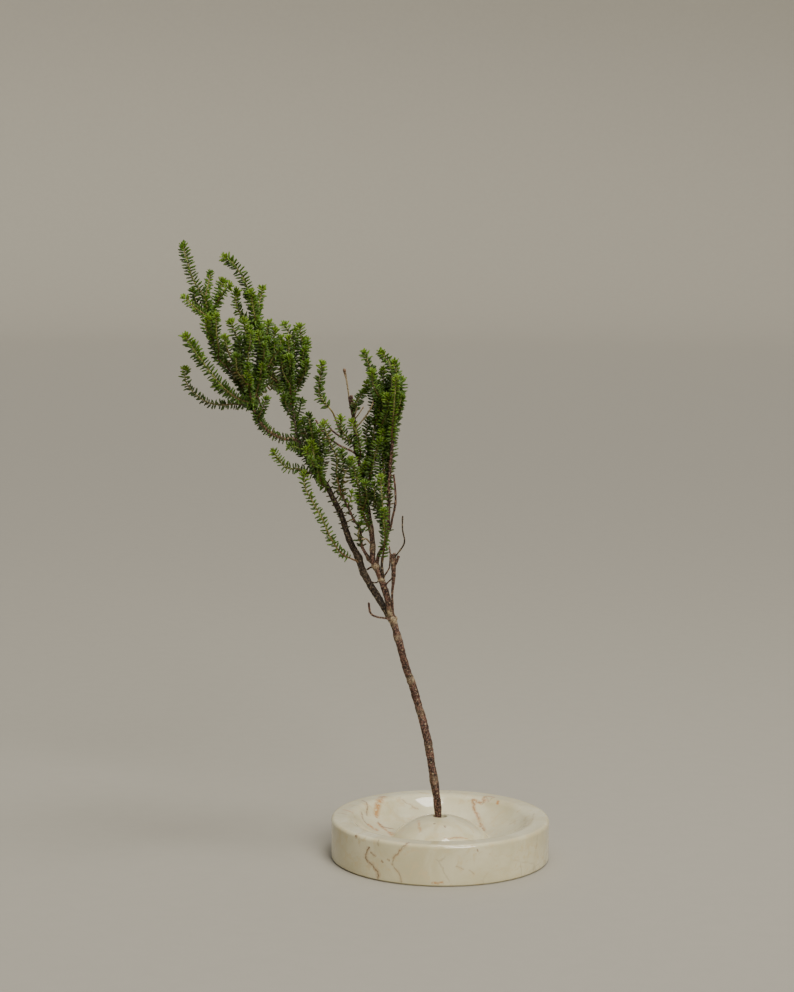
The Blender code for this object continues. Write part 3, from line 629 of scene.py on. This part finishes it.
def node(tree, kind, settings=None, **inputs):
    """A new node with its settings and inputs, each a value or another node's output.

    An input is named by its title, or as i0, i1 and so on by its place.
    """
    made = tree.nodes.new(kind)
    for title, value in (settings or {}).items():
        setattr(made, title, value)
    for title, value in inputs.items():
        numbered = title[0] == "i" and title[1:].isdigit()
        socket = made.inputs[int(title[1:]) if numbered else title]
        if isinstance(value, bpy.types.NodeSocket):
            tree.links.new(value, socket)
        else:
            socket.default_value = value
    return made


def attribute(tree, name):
    return node(tree, "ShaderNodeAttribute", {"attribute_name": name}).outputs["Fac"]


def math_node(tree, operation, first, second=0.0, clamp=False):
    settings = {"operation": operation, "use_clamp": clamp}
    return node(tree, "ShaderNodeMath", settings, i0=first, i1=second).outputs[0]


def multiply(tree, first, second):
    return math_node(tree, "MULTIPLY", first, second)


def set_inputs(made, values):
    for title, value in values.items():
        made.inputs[title].default_value = value


def set_colour(tree, shader, colour):
    tree.links.new(colour, shader.inputs["Base Color"])


def set_roughness(tree, shader, value, low, high):
    rough = node(tree, "ShaderNodeMapRange", None, **{"Value": value, "To Min": low, "To Max": high})
    tree.links.new(rough.outputs["Result"], shader.inputs["Roughness"])


def vector_node(tree, operation, **inputs):
    return node(tree, "ShaderNodeVectorMath", {"operation": operation}, **inputs)


def smooth_step(tree, value, low, high):
    """0 below low, 1 above high and a smooth ramp between; low may be above high."""
    made = node(
        tree, "ShaderNodeMapRange", {"interpolation_type": "SMOOTHSTEP"},
        **{"Value": value, "From Min": low, "From Max": high, "To Min": 0.0, "To Max": 1.0},
    )
    return made.outputs["Result"]


def noise_value(tree, vector, scale, detail=3.0, roughness=0.55, distortion=0.0):
    made = node(
        tree, "ShaderNodeTexNoise", None,
        Vector=vector, Scale=scale, Detail=detail, Roughness=roughness, Distortion=distortion,
    )
    return made.outputs["Fac"]


def mix_colour(tree, part, first, second, blend="MIX"):
    made = tree.nodes.new("ShaderNodeMix")
    made.data_type = "RGBA"
    made.blend_type = blend
    for socket, value in ((made.inputs[0], part), (made.inputs[6], first), (made.inputs[7], second)):
        if isinstance(value, bpy.types.NodeSocket):
            tree.links.new(value, socket)
        elif isinstance(value, tuple):
            socket.default_value = (*value, 1.0)
        else:
            socket.default_value = value
    return made.outputs[2]


def object_point(tree):
    return node(tree, "ShaderNodeTexCoord").outputs["Object"]


def bump(tree, shader, height, strength, distance):
    made = node(tree, "ShaderNodeBump", None, Height=height, Strength=strength, Distance=distance)
    tree.links.new(made.outputs["Normal"], shader.inputs["Normal"])


# Dark, middle and light colour of each bark; then the same of the green twigs, and their scars'.
BARKS = {
    "bark": ((0.020, 0.009, 0.006), (0.078, 0.031, 0.020), (0.17, 0.085, 0.055)),
    "pale_bark": ((0.035, 0.015, 0.008), (0.10, 0.042, 0.022), (0.24, 0.13, 0.075)),
    "dark_bark": ((0.009, 0.006, 0.003), (0.032, 0.020, 0.010), (0.085, 0.055, 0.030)),
}
TWIG_COLOURS = ((0.12, 0.10, 0.02), (0.22, 0.24, 0.05), (0.34, 0.36, 0.12), (0.36, 0.33, 0.12))


def bark_material(name, dark, mid, light, scarred=(0.50, 0.40, 0.23), woody_foot=False):
    """Bark: a base between two browns, pale leaf scars and lichen-grey flecks."""
    material, tree, shader = new_material(name)
    point = object_point(tree)
    broad = smooth_step(tree, noise_value(tree, point, 260.0), 0.35, 0.68)
    fine = noise_value(tree, point, 1900.0, 4.0, 0.65)
    colour = mix_colour(tree, broad, dark, mid)
    patches = noise_value(tree, point, 1050.0, 2.0, 0.45)
    colour = mix_colour(tree, smooth_step(tree, patches, 0.50, 0.62), colour, light)
    colour = mix_colour(tree, smooth_step(tree, patches, 0.45, 0.36), colour, dark)
    flecks = smooth_step(tree, noise_value(tree, point, 1500.0, 2.0), 0.58, 0.66)
    colour = mix_colour(tree, multiply(tree, flecks, 0.5), colour, (0.36, 0.25, 0.18))
    pale = attribute(tree, "pale")
    streaks = math_node(tree, "MULTIPLY", pale, smooth_step(tree, fine, 0.38, 0.56), True)
    colour = mix_colour(tree, streaks, colour, scarred)
    scar = smooth_step(tree, attribute(tree, "scar"), 0.25, 0.65)
    colour = mix_colour(tree, multiply(tree, scar, 0.55), colour, scarred)
    if woody_foot:
        foot = smooth_step(tree, attribute(tree, "along"), 0.6, 0.2)
        colour = mix_colour(tree, multiply(tree, foot, 0.85), colour, (0.15, 0.07, 0.035))
    set_colour(tree, shader, colour)
    set_roughness(tree, shader, fine, 0.5, 0.85)
    set_inputs(shader, {"Specular IOR Level": 0.35})
    bump(tree, shader, math_node(tree, "ADD", fine, patches), 0.7, 0.0002)
    return material


# Leaf colour by age, from withered brown over deep green to young yellow green.
LEAF_AGES = (
    (0.0, (0.095, 0.052, 0.011)),
    (0.09, (0.045, 0.038, 0.007)),
    (0.18, (0.020, 0.038, 0.004)),
    (0.35, (0.041, 0.086, 0.007)),
    (0.65, (0.093, 0.178, 0.012)),
    (1.0, (0.20, 0.31, 0.022)),
)


def leaf_material():
    """Leaves: from deep to yellow green by age, with a pale keel, base and tip."""
    material, tree, shader = new_material("leaf")
    point = object_point(tree)
    youth = attribute(tree, "youth")
    tone = attribute(tree, "tone")
    along = attribute(tree, "along")
    varied = multiply(tree, math_node(tree, "SUBTRACT", tone, 0.5), 0.35)
    age = math_node(tree, "ADD", youth, varied, True)
    ramp = node(tree, "ShaderNodeValToRGB", None, Fac=age)
    stops = ramp.color_ramp.elements
    stops[0].color = (*LEAF_AGES[0][1], 1)
    stops[1].color = (*LEAF_AGES[-1][1], 1)
    for place, colour in LEAF_AGES[1:-1]:
        stops.new(place).color = (*colour, 1)
    mottle = noise_value(tree, point, 1500.0, 3.0)
    spots = smooth_step(tree, mottle, 0.45, 0.75)
    colour = mix_colour(tree, spots, ramp.outputs["Color"], (0.065, 0.105, 0.014))
    keel = multiply(tree, attribute(tree, "keel"), 0.3)
    colour = mix_colour(tree, keel, colour, (0.17, 0.25, 0.05))
    base = multiply(tree, smooth_step(tree, along, 0.22, 0.0), 0.6)
    colour = mix_colour(tree, base, colour, (0.24, 0.21, 0.05))
    set_colour(tree, shader, colour)
    set_roughness(tree, shader, mottle, 0.32, 0.55)
    set_inputs(shader, {
        "Subsurface Weight": 0.25, "Subsurface Radius": (0.5, 1.0, 0.2), "Subsurface Scale": 0.0004,
        "Specular IOR Level": 0.32,
    })
    bump(tree, shader, mottle, 0.3, 0.00006)
    return material


def vein_group():
    """Node group: 1 on a short straight vein through a centre, else 0, and a wider halo of it."""
    group = bpy.data.node_groups.new("vein", "ShaderNodeTree")
    for title in ("Point", "Centre", "Across"):
        group.interface.new_socket(title, in_out="INPUT", socket_type="NodeSocketVector")
    for title in ("Half Length", "Width", "Strength"):
        group.interface.new_socket(title, in_out="INPUT", socket_type="NodeSocketFloat")
    for title in ("Vein", "Halo"):
        group.interface.new_socket(title, in_out="OUTPUT", socket_type="NodeSocketFloat")
    given = group.nodes.new("NodeGroupInput").outputs
    away = vector_node(group, "SUBTRACT", i0=given["Point"], i1=given["Centre"]).outputs[0]
    side = vector_node(group, "DOT_PRODUCT", i0=away, i1=given["Across"]).outputs["Value"]
    reach = vector_node(group, "LENGTH", i0=away).outputs["Value"]
    gap = math_node(group, "ABSOLUTE", side)
    line = smooth_step(group, gap, given["Width"], 0.0)
    halo = smooth_step(group, gap, multiply(group, given["Width"], 3.6), 0.0)
    part = math_node(group, "DIVIDE", reach, given["Half Length"])
    ends = smooth_step(group, part, 1.05, 0.75)
    strong = multiply(group, ends, given["Strength"])
    result = group.nodes.new("NodeGroupOutput")
    group.links.new(multiply(group, line, strong), result.inputs["Vein"])
    group.links.new(multiply(group, halo, strong), result.inputs["Halo"])
    return group


# Veins, streaks and specks of the dish: width in mm, strength and route on its surface in mm.
DARK_VEINS = [
    (0.55, 0.85, [(-43, 34, 22.5), (-40.5, 24.5, 20), (-41, 18, 17.5)]),
    (0.5, 0.8, [(-44, 17, 19.5), (-43, 12, 17.5), (-40, 8, 14.5)]),
    (0.45, 0.6, [(-57.5, 5, 22.5), (-50.5, 2, 22)]),
    (0.55, 0.85, [(-35, 18.5, 14), (-32, 15.5, 12), (-25.5, 17, 10.5)]),
    (0.4, 0.5, [(-21.5, 43, 20.5), (-17.5, 42, 18), (-12, 40.5, 15.5)]),
    (0.5, 0.5, [(19, 43.5, 20), (21, 37, 16), (22.5, 29.5, 12.5), (25, 15, 10)]),
    (0.45, 0.45, [(19, 43.5, 20), (25.5, 39.5, 19.5), (26.5, 45, 22.5)]),
    (0.45, 0.45, [(26.5, 45, 22.5), (28, 38.5, 19.5), (32, 43, 22.5)]),
    (0.35, 0.3, [(52, 8, 22.5), (50, -10, 21.5), (43, -27.5, 21.5)]),
    (0.4, 0.4, [(3.5, -21.5, 15.5), (11.5, -18, 15.5)]),
    (0.7, 0.8, [(-4, -10, 21), (-3.5, -11, 21)]),
    (0.6, 0.8, [(2, -13, 20.5), (2.5, -14, 20)]),
    (0.7, 0.9, [(-46, -38, 21.5), (-45, -39.5, 21)]),
    (0.75, 0.95, [(-38.5, -46, 17), (-40, -44.5, 15), (-40, -44.5, 10.5), (-38.5, -46, 9.5)]),
    (0.7, 0.9, [(-38.5, -46, 9.5), (-36, -48, 7), (-34, -49.5, 4.5), (-33.5, -49.5, 1)]),
    (0.45, 0.7, [(-38, -46.5, 14.5), (-35, -49, 13)]),
    (0.45, 0.7, [(-17, -55.5, 22.5), (-21.5, -56, 19.5), (-25.5, -54.5, 14.5)]),
    (0.45, 0.65, [(-25.5, -54.5, 14.5), (-26.5, -54, 10), (-23, -55.5, 6.5), (-21, -56, 1)]),
    (0.4, 0.7, [(-33, -49, 22), (-33.5, -50, 19.5)]),
    (0.55, 0.7, [(-31.5, -51, 11.5), (-31, -51.5, 10.5)]),
    (0.55, 0.6, [(-28.5, -53, 13), (-28, -53, 12)]),
    (0.55, 0.7, [(18.5, -57, 19.5), (19, -57, 18.5)]),
    (0.35, 0.35, [(7.5, -59.5, 11.5), (11, -59, 9)]),
    (0.35, 0.35, [(14.5, -58.5, 9), (17.5, -57.5, 6.5)]),
]
RUST_VEINS = [
    (3.0, 0.95, [(-31, 43.5, 22.5), (-34.5, 34, 21), (-35.5, 22, 15.5)]),
    (3.2, 1.0, [(-40, 10.5, 15), (-35, 7, 12)]),
    (3.2, 0.95, [(-28.5, 12, 10.5), (-24, 2, 10)]),
    (2.2, 0.9, [(-35, 18, 13.5), (-29, 12, 10.5)]),
    (1.2, 0.7, [(-54, 12, 22.5), (-48, 8, 21)]),
    (2.6, 1.0, [(33.5, 37, 22), (33.5, 34.5, 20)]),
    (1.8, 0.85, [(19, 43.5, 20), (25.5, 39.5, 19.5), (26.5, 45, 22.5), (32, 42, 22)]),
    (1.8, 0.85, [(19, 43.5, 20), (21, 37, 16), (22.5, 29.5, 12.5), (25, 15, 10)]),
    (1.6, 0.6, [(-12, -2, 20.5), (-10.5, -15.5, 17.5)]),
    (0.8, 0.7, [(1, -21.5, 15.5), (16, -17, 14)]),
    (0.8, 0.5, [(-22, -55.5, 19), (-26, -54, 12)]),
    (1.5, 0.9, [(-5, -60, 2), (1, -60, 2.5)]),
]


def surface_normal(point):
    """The rough outward normal of the dish at a point on its surface, in mm."""
    x, y, z = point
    out = math.hypot(x, y)
    radial = Vector((x / out, y / out, 0))
    if out > DISH_RADIUS - RIM_ROUND and z < DISH_HEIGHT - RIM_ROUND / 2:
        return radial
    if z > DISH_HEIGHT - 0.4:
        return Vector((0, 0, 1))
    if out > DOME_EDGE + 3:
        return (Vector((0, 0, 1)) - radial * 0.6).normalized()
    return (Vector((0, 0, 1)) + radial * 0.5).normalized()


def vein_sum(tree, point, veins, group):
    """All of a list's veins on one another, as (veins, their halos)."""
    total, halos = 0.0, 0.0
    for width, strength, route in veins:
        for start, end in zip(route, route[1:]):
            start, end = Vector(start), Vector(end)
            middle = (start + end) / 2
            made = node(tree, "ShaderNodeGroup", {"node_tree": group}, Point=point)
            set_inputs(made, {
                "Centre": middle * MM,
                "Across": (end - start).cross(surface_normal(middle)).normalized(),
                "Half Length": ((end - start).length / 2 + 0.4) * MM,
                "Width": width * MM,
                "Strength": strength,
            })
            total = math_node(tree, "MAXIMUM", total, made.outputs["Vein"])
            halos = math_node(tree, "MAXIMUM", halos, made.outputs["Halo"])
    return total, halos


def marble_material():
    """Polished cream marble: soft clouds, fine wavering veins, rust stains and tiny pits."""
    material, tree, shader = new_material("marble")
    point = object_point(tree)
    group = vein_group()
    clouds = smooth_step(tree, noise_value(tree, point, 38.0, 4.0, 0.6, 0.6), 0.32, 0.72)
    colour = mix_colour(tree, clouds, (0.58, 0.52, 0.31), (0.70, 0.65, 0.435))
    fine = noise_value(tree, point, 210.0, 5.0, 0.62, 0.4)
    colour = mix_colour(tree, smooth_step(tree, fine, 0.5, 0.68), colour, (0.63, 0.535, 0.31))
    wander = node(tree, "ShaderNodeTexNoise", None, Vector=point, Scale=170.0, Detail=4.0, Roughness=0.6)
    pull = vector_node(tree, "SUBTRACT", i0=wander.outputs["Color"], i1=(0.5, 0.5, 0.5))
    shift = vector_node(tree, "SCALE", i0=pull.outputs[0], Scale=0.004)
    bent = vector_node(tree, "ADD", i0=point, i1=shift.outputs[0]).outputs[0]
    web = node(
        tree, "ShaderNodeTexVoronoi", {"feature": "DISTANCE_TO_EDGE"}, Vector=bent, Scale=34.0, Randomness=1.0
    )
    hair = smooth_step(tree, web.outputs["Distance"], 0.022, 0.0)
    where = smooth_step(tree, noise_value(tree, point, 55.0, 2.0), 0.52, 0.66)
    hair = multiply(tree, multiply(tree, hair, where), 0.35)
    colour = mix_colour(tree, hair, colour, (0.34, 0.27, 0.17))
    rust, _ = vein_sum(tree, bent, RUST_VEINS, group)
    dark, halo = vein_sum(tree, bent, DARK_VEINS, group)
    blotch = smooth_step(tree, noise_value(tree, point, 620.0, 3.0), 0.30, 0.55)
    colour = mix_colour(tree, multiply(tree, rust, blotch), colour, (0.51, 0.26, 0.09))
    soft = multiply(tree, halo, multiply(tree, blotch, 0.65))
    colour = mix_colour(tree, soft, colour, (0.48, 0.29, 0.14))
    breaks = smooth_step(tree, noise_value(tree, point, 800.0, 3.0), 0.25, 0.55)
    colour = mix_colour(tree, multiply(tree, dark, breaks), colour, (0.16, 0.10, 0.055))
    set_colour(tree, shader, colour)
    pits = smooth_step(tree, noise_value(tree, point, 900.0, 2.0), 0.70, 0.78)
    set_roughness(tree, shader, pits, 0.04, 0.3)
    set_inputs(shader, {
        "Subsurface Weight": 0.12, "Subsurface Radius": (1.0, 0.8, 0.5), "Subsurface Scale": 0.0015,
        "Coat Weight": 0.3, "Coat Roughness": 0.03,
    })
    depth = math_node(tree, "SUBTRACT", 1.0, pits)
    bump(tree, shader, depth, 0.25, 0.0001)
    return material


# ---------------------------------------------------------------- dish


def carry_on(section, radius, start, end, steps):
    """Carries a section on outward by an arc between two downward slopes, in radians.

    The arc bulges where its slope grows and is hollow where its slope shrinks.
    """
    x, z = section[-1]
    bulge = radius if end > start else -radius
    for step in range(1, steps + 1):
        slope = start + (end - start) * step / steps
        out = bulge * (math.sin(slope) - math.sin(start))
        up = bulge * (math.cos(slope) - math.cos(start))
        section.append((x + out, z + up))


def go_straight(section, x, z, steps):
    start_x, start_z = section[-1]
    for step in range(1, steps + 1):
        part = step / steps
        section.append((start_x + (x - start_x) * part, start_z + (z - start_z) * part))


def dish_section():
    """The dish's section in mm, from the hole's floor over dome, bowl and rim to the underside."""
    mouth_slope = math.asin((HOLE_RADIUS + HOLE_ROUND) / DOME_ROUND)
    mouth_height = DOME_TOP - DOME_ROUND * (1 - math.cos(mouth_slope))
    edge_slope = math.asin(DOME_EDGE / DOME_ROUND)
    section = [(0.0, HOLE_FLOOR), (HOLE_RADIUS, HOLE_FLOOR)]
    go_straight(section, HOLE_RADIUS, mouth_height - HOLE_ROUND, 6)
    carry_on(section, HOLE_ROUND, -math.pi / 2, mouth_slope, 6)
    carry_on(section, DOME_ROUND, mouth_slope, edge_slope, 30)
    carry_on(section, DOME_EDGE_ROUND, edge_slope, DOME_STEEP, 10)
    carry_on(section, GROOVE_ROUND, DOME_STEEP, -BOWL_SHALLOW, 14)
    lip_rise = LIP_ROUND * (1 - math.cos(BOWL_STEEP))
    bowl_rise = DISH_HEIGHT - lip_rise - section[-1][1]
    bowl_round = bowl_rise / (math.cos(BOWL_SHALLOW) - math.cos(BOWL_STEEP))
    carry_on(section, bowl_round, -BOWL_SHALLOW, -BOWL_STEEP, 34)
    carry_on(section, LIP_ROUND, -BOWL_STEEP, 0.0, 18)
    go_straight(section, DISH_RADIUS - RIM_ROUND, DISH_HEIGHT, 6)
    carry_on(section, RIM_ROUND, 0.0, math.pi / 2, 12)
    go_straight(section, DISH_RADIUS, FOOT_HEIGHT + BASE_ROUND, 10)
    carry_on(section, BASE_ROUND, math.pi / 2, math.pi, 5)
    go_straight(section, DISH_RADIUS - FOOT_INSET, FOOT_HEIGHT, 2)
    go_straight(section, DISH_RADIUS - FOOT_INSET, 0.0, 2)
    go_straight(section, 0.0, 0.0, 12)
    return section


def make_dish(material):
    section = dish_section()
    mesh = bpy.data.meshes.new("marble_dish")
    edges = [(index, index + 1) for index in range(len(section) - 1)]
    mesh.from_pydata([(x * MM, 0.0, z * MM) for x, z in section], edges, [])
    dish = add_object("marble_dish", mesh)
    turn = dish.modifiers.new("turn", "SCREW")
    turn.steps = TURN_STEPS
    turn.render_steps = TURN_STEPS
    turn.use_merge_vertices = True
    turn.merge_threshold = 0.002 * MM
    turn.use_smooth_shade = True
    graph = bpy.context.evaluated_depsgraph_get()
    solid = bpy.data.meshes.new_from_object(dish.evaluated_get(graph))
    dish.modifiers.clear()
    dish.data = solid
    solid.materials.clear()
    solid.materials.append(material)
    stand_for(dish, "dish")


# ---------------------------------------------------------------- branch

# Swellings of a limb: part of its length, extra thickness, reach in mm and paleness, which
# takes paleness away where it is below 0.
KNOTS = {
    "main_stem": [
        (0.985, 0.3, 2.6, 1.0), (0.90, 0.12, 1.6, 0.35), (0.70, 0.08, 2.0, 0.6), (0.55, 0.06, 2.5, 0.25),
        (0.40, 0.07, 2.0, 0.2), (0.25, 0.08, 2.5, 0.2), (0.13, 0.08, 3.0, 0.0),
    ],
    "middle_limb": [(0.93, 0.22, 1.8, 0.5), (0.68, 0.16, 1.2, 0.7), (0.10, 0.15, 2.2, 0.8)],
    "left_limb": [
        (0.03, 0.15, 3.0, 0.3), (0.27, 0.15, 2.0, 0.15), (0.36, 0.18, 2.0, 0.1), (0.96, 0.2, 2.5, 0.0),
    ],
    "centre_limb": [(0.10, 0.2, 2.0, 0.4), (0.21, 0.18, 1.6, 0.7), (0.70, 0.2, 2.0, 0.1)],
    "fork_twig": [(0.12, 0.35, 2.0, 0.2)],
    "side_stub": [(0.9, 0.25, 3.0, 0.3)],
    "dry_tip": [(0.90, 0.45, 2.2, -1.0)],
}

SCAR_GAP = 1.5
TWIG_SCAR_GAP = 1.9

# How pale the whole of a twig is, from 0 to 1
PALENESS = {"pale_curl": 1.0, "dry_tip": 1.0, "lower_arm": 0.1}
MAIN_LIMBS = ("main_stem", "left_limb", "middle_limb", "centre_limb")
BROKEN = ("centre_limb", "side_stub", "right_twig", "lower_arm", "upper_arm")


def make_limbs(materials):
    """The stem, limbs and bare twigs. Returns each one's path."""
    paths = {}
    for count, (name, (parent, slot, radii, route)) in enumerate(LIMBS.items()):
        rng = random.Random(100 + count)
        path = smooth_path(rooted(route, paths[parent]) if parent else route)
        paths[name] = path
        large = name in MAIN_LIMBS
        shape = Shape()
        add_bark_tube(
            shape, path, radii, rng,
            sides=26 if large else 14,
            step=0.35 if large else 0.4,
            scar_gap=SCAR_GAP if large else TWIG_SCAR_GAP,
            scar_height=0.2 if large else 0.1,
            pale=PALENESS.get(name, 0.0),
            knots=KNOTS.get(name, ()),
            tip="broken" if name in BROKEN else "round",
        )
        stand_for(shape.make("bark_" + name, materials[slot]), name)
    return paths


def stand_for(piece, name):
    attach(piece, "root")
    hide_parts(name)


def add_shoot(
    twig, leaves, path, size, youth, tip_youth, rng, thickness, start=BARE_FOOT, gap=LEAF_GAP
):
    radii = [0.5 * thickness, 0.42 * thickness, 0.36 * thickness, 0.25 * thickness]
    add_bark_tube(
        twig, path[:-3], radii, rng,
        sides=7, step=0.5, scar_gap=1.3, scar_height=0.05, pale=0.25,
    )
    add_leaves(leaves, path, size, youth, tip_youth, rng, start, gap=gap)


def side_route(path, rng):
    """A short route that leaves a path, mostly to its front or back, and bends along it."""
    tangents, across, upward = path_frames(path)
    index = int(len(path) * rng.uniform(0.12, 0.68))
    outward = Vector((rng.uniform(-0.45, 0.45), rng.choice((-1, 1)), 0.0))
    along = Vector(tangents[index])
    outward = (outward - along * outward.dot(along)).normalized()
    foot = Vector(path[index])
    length = rng.uniform(6.0, 11.0)
    return [
        tuple(foot + outward * 0.8 + along * 0.8),
        tuple(foot + (outward * 0.32 + along * 0.42) * length),
        tuple(foot + (outward * 0.42 + along * 0.95) * length),
    ]


def make_shoots(materials, paths):
    """The leafy shoots, their sprigs and the limbs' own leaves."""
    twigs = {name: Shape() for name in [*LIMBS, *SHOOTS]}
    leaves = {name: Shape() for name in [*LIMBS, *SHOOTS]}
    for count, (name, (parent, slot, size, route)) in enumerate(SHOOTS.items()):
        rng = random.Random(500 + count)
        paths[name] = smooth_path(rooted(route, paths[parent]))
        tip_youth = TIP_YOUTH.get(name, BRIGHT_TIP)
        start, gap = SHOOT_START.get(name, BARE_FOOT), SHOOT_GAP.get(name, LEAF_GAP)
        # a youth given by name can be painted light, as on shoot_crown_left, whose shaded leaves it brightens
        youth = SHOOT_YOUTH_AND_PAINTED_LIGHT.get(name, YOUTH[slot])
        add_shoot(twigs[name], leaves[name], paths[name], size, youth, tip_youth, rng, 1.0, start, gap)
        for side in range(SIDE_SPRIGS.get(name, 0)):
            path = smooth_path(rooted(side_route(paths[name], rng), paths[name]))
            youth = YOUTH[slot] * rng.uniform(0.4, 1.2)
            add_shoot(twigs[name], leaves[name], path, size * 0.92, youth, youth + 0.3, rng, 0.8)
    for count, (parent, youth, size, route) in enumerate(SPRIGS):
        rng = random.Random(800 + count)
        path = smooth_path(rooted(route, paths[parent]))
        tip_youth = min(BRIGHT_TIP, youth + 0.35)
        gap = SHOOT_GAP.get(parent, LEAF_GAP)
        add_shoot(
            twigs[parent], leaves[parent], path, size, youth, tip_youth, rng, 0.85, BARE_FOOT, gap
        )
    for count, (name, (start, end, gap, size, youth)) in enumerate(LEAFY_LIMBS.items()):
        rng = random.Random(900 + count)
        twig = LIMBS[name][2][-1] * 0.9
        add_leaves(leaves[name], paths[name], size, youth, youth, rng, start, end, gap, twig)
    for name in twigs:
        slot = SHOOTS[name][1] if name in SHOOTS else "old_leaf"
        if twigs[name].count:
            stand_for(twigs[name].make("twig_" + name, materials["twig"]), name)
        if leaves[name].count:
            stand_for(leaves[name].make("leaves_" + name, materials["leaf"]), name)


def make_twiglets(materials, paths):
    """The short bare twigs that grow from the limbs."""
    for count, (parent, slot, radii, route) in enumerate(TWIGLETS):
        rng = random.Random(700 + count)
        shape = Shape()
        add_bark_tube(
            shape, smooth_path(rooted(route, paths[parent])), radii, rng,
            sides=10, step=0.4, scar_gap=2.0, scar_height=0.06,
            pale=0.6 if slot == "pale_bark" else 0.0, tip="broken",
        )
        stand_for(shape.make(f"twiglet_{count}_{parent}", materials[slot]), parent)


# ---------------------------------------------------------------- stage

STAGE_RADIUS = 6.0
STAGE_BEND = 1.0
STAGE_WALL = 1.5
STAGE_SIDES = 96
BEND_STEPS = 16
LIGHT_COLOUR = (1.0, 0.97, 0.92)
CAMERA_PLACE = (-0.0251, -1.2582, 0.3548)
CAMERA_DOWN = math.radians(7.02)
CAMERA_ROLL = math.radians(0.42)
CAMERA_LENS = 85.0
CAMERA_SENSOR = 36.0


def stage_material():
    material, tree, shader = new_material("stage")
    point = object_point(tree)
    grain = noise_value(tree, point, 90.0, 4.0)
    colour = mix_colour(tree, grain, (0.37, 0.345, 0.285), (0.395, 0.37, 0.305))
    set_colour(tree, shader, colour)
    set_inputs(shader, {"Roughness": 0.8})
    return material


def make_stage():
    """A plain pale round floor that curves up into a low wall all round."""
    flat = STAGE_RADIUS - STAGE_BEND
    section = [(0.3, 0.0), (1.0, 0.0), (flat, 0.0)]
    for step in range(1, BEND_STEPS + 1):
        angle = math.pi / 2 * step / BEND_STEPS
        section.append((flat + STAGE_BEND * math.sin(angle), STAGE_BEND * (1 - math.cos(angle))))
    section.append((STAGE_RADIUS, STAGE_WALL))
    vertices = [(0.0, 0.0, 0.0)]
    faces = []
    for row, (out, z) in enumerate(section):
        for side in range(STAGE_SIDES):
            angle = 2 * math.pi * side / STAGE_SIDES
            vertices.append((out * math.cos(angle), out * math.sin(angle), z))
            here = row * STAGE_SIDES + side + 1
            after = row * STAGE_SIDES + (side + 1) % STAGE_SIDES + 1
            if row:
                faces.append((here, after, after - STAGE_SIDES, here - STAGE_SIDES))
            else:
                faces.append((0, here, after))
    mesh = bpy.data.meshes.new("floor")
    mesh.from_pydata(vertices, [], faces)
    mesh.shade_smooth()
    mesh.materials.append(stage_material())
    add_object("floor", mesh)


def add_light(name, kind, energy):
    data = bpy.data.lights.new(name, kind)
    data.energy = energy
    data.color = LIGHT_COLOUR
    return add_object(name, data)


def add_softbox(name, place, target, width, height, power):
    light = add_light(name, "AREA", power)
    light.data.shape = "RECTANGLE"
    light.data.size = width
    light.data.size_y = height
    light.location = place
    light.rotation_euler = (Vector(target) - Vector(place)).to_track_quat("-Z", "Y").to_euler()


def add_sun(name, energy, angle, tilt, turn):
    """A sun tilted from straight down and then turned about the vertical, in degrees."""
    light = add_light(name, "SUN", energy)
    light.data.angle = math.radians(angle)
    light.rotation_euler = (math.radians(tilt), 0.0, math.radians(turn))


def make_lights():
    add_softbox("overhead", (0.19, -0.24, 1.30), (0.0, 0.0, 0.02), 0.42, 0.40, 7.2)
    add_sun("key", 2.6, 30, 58, 22)
    add_sun("fill", 1.05, 70, 0, 0)
    add_sun("back_fill", 0.6, 90, 60, 190)
    world = bpy.data.worlds.new("studio")
    world.use_nodes = True
    background = world.node_tree.nodes["Background"]
    background.inputs["Color"].default_value = (*LIGHT_COLOUR, 1.0)
    background.inputs["Strength"].default_value = 0.05
    bpy.context.scene.world = world


def make_camera():
    data = bpy.data.cameras.new("camera")
    data.sensor_fit = "VERTICAL"
    data.sensor_height = CAMERA_SENSOR
    data.lens = CAMERA_LENS
    camera = add_object("camera", data)
    camera.location = CAMERA_PLACE
    pitch = Matrix.Rotation(math.pi / 2 - CAMERA_DOWN, 3, "X")
    roll = Matrix.Rotation(CAMERA_ROLL, 3, "Z")
    camera.rotation_euler = (pitch @ roll).to_euler()
    bpy.context.scene.camera = camera


def main():
    materials = {name: bark_material(name, *colours) for name, colours in BARKS.items()}
    materials["twig"] = bark_material("twig", *TWIG_COLOURS, woody_foot=True)
    materials["leaf"] = leaf_material()
    make_dish(marble_material())
    paths = make_limbs(materials)
    make_shoots(materials, paths)
    make_twiglets(materials, paths)
    make_stage()
    make_lights()
    make_camera()


main()
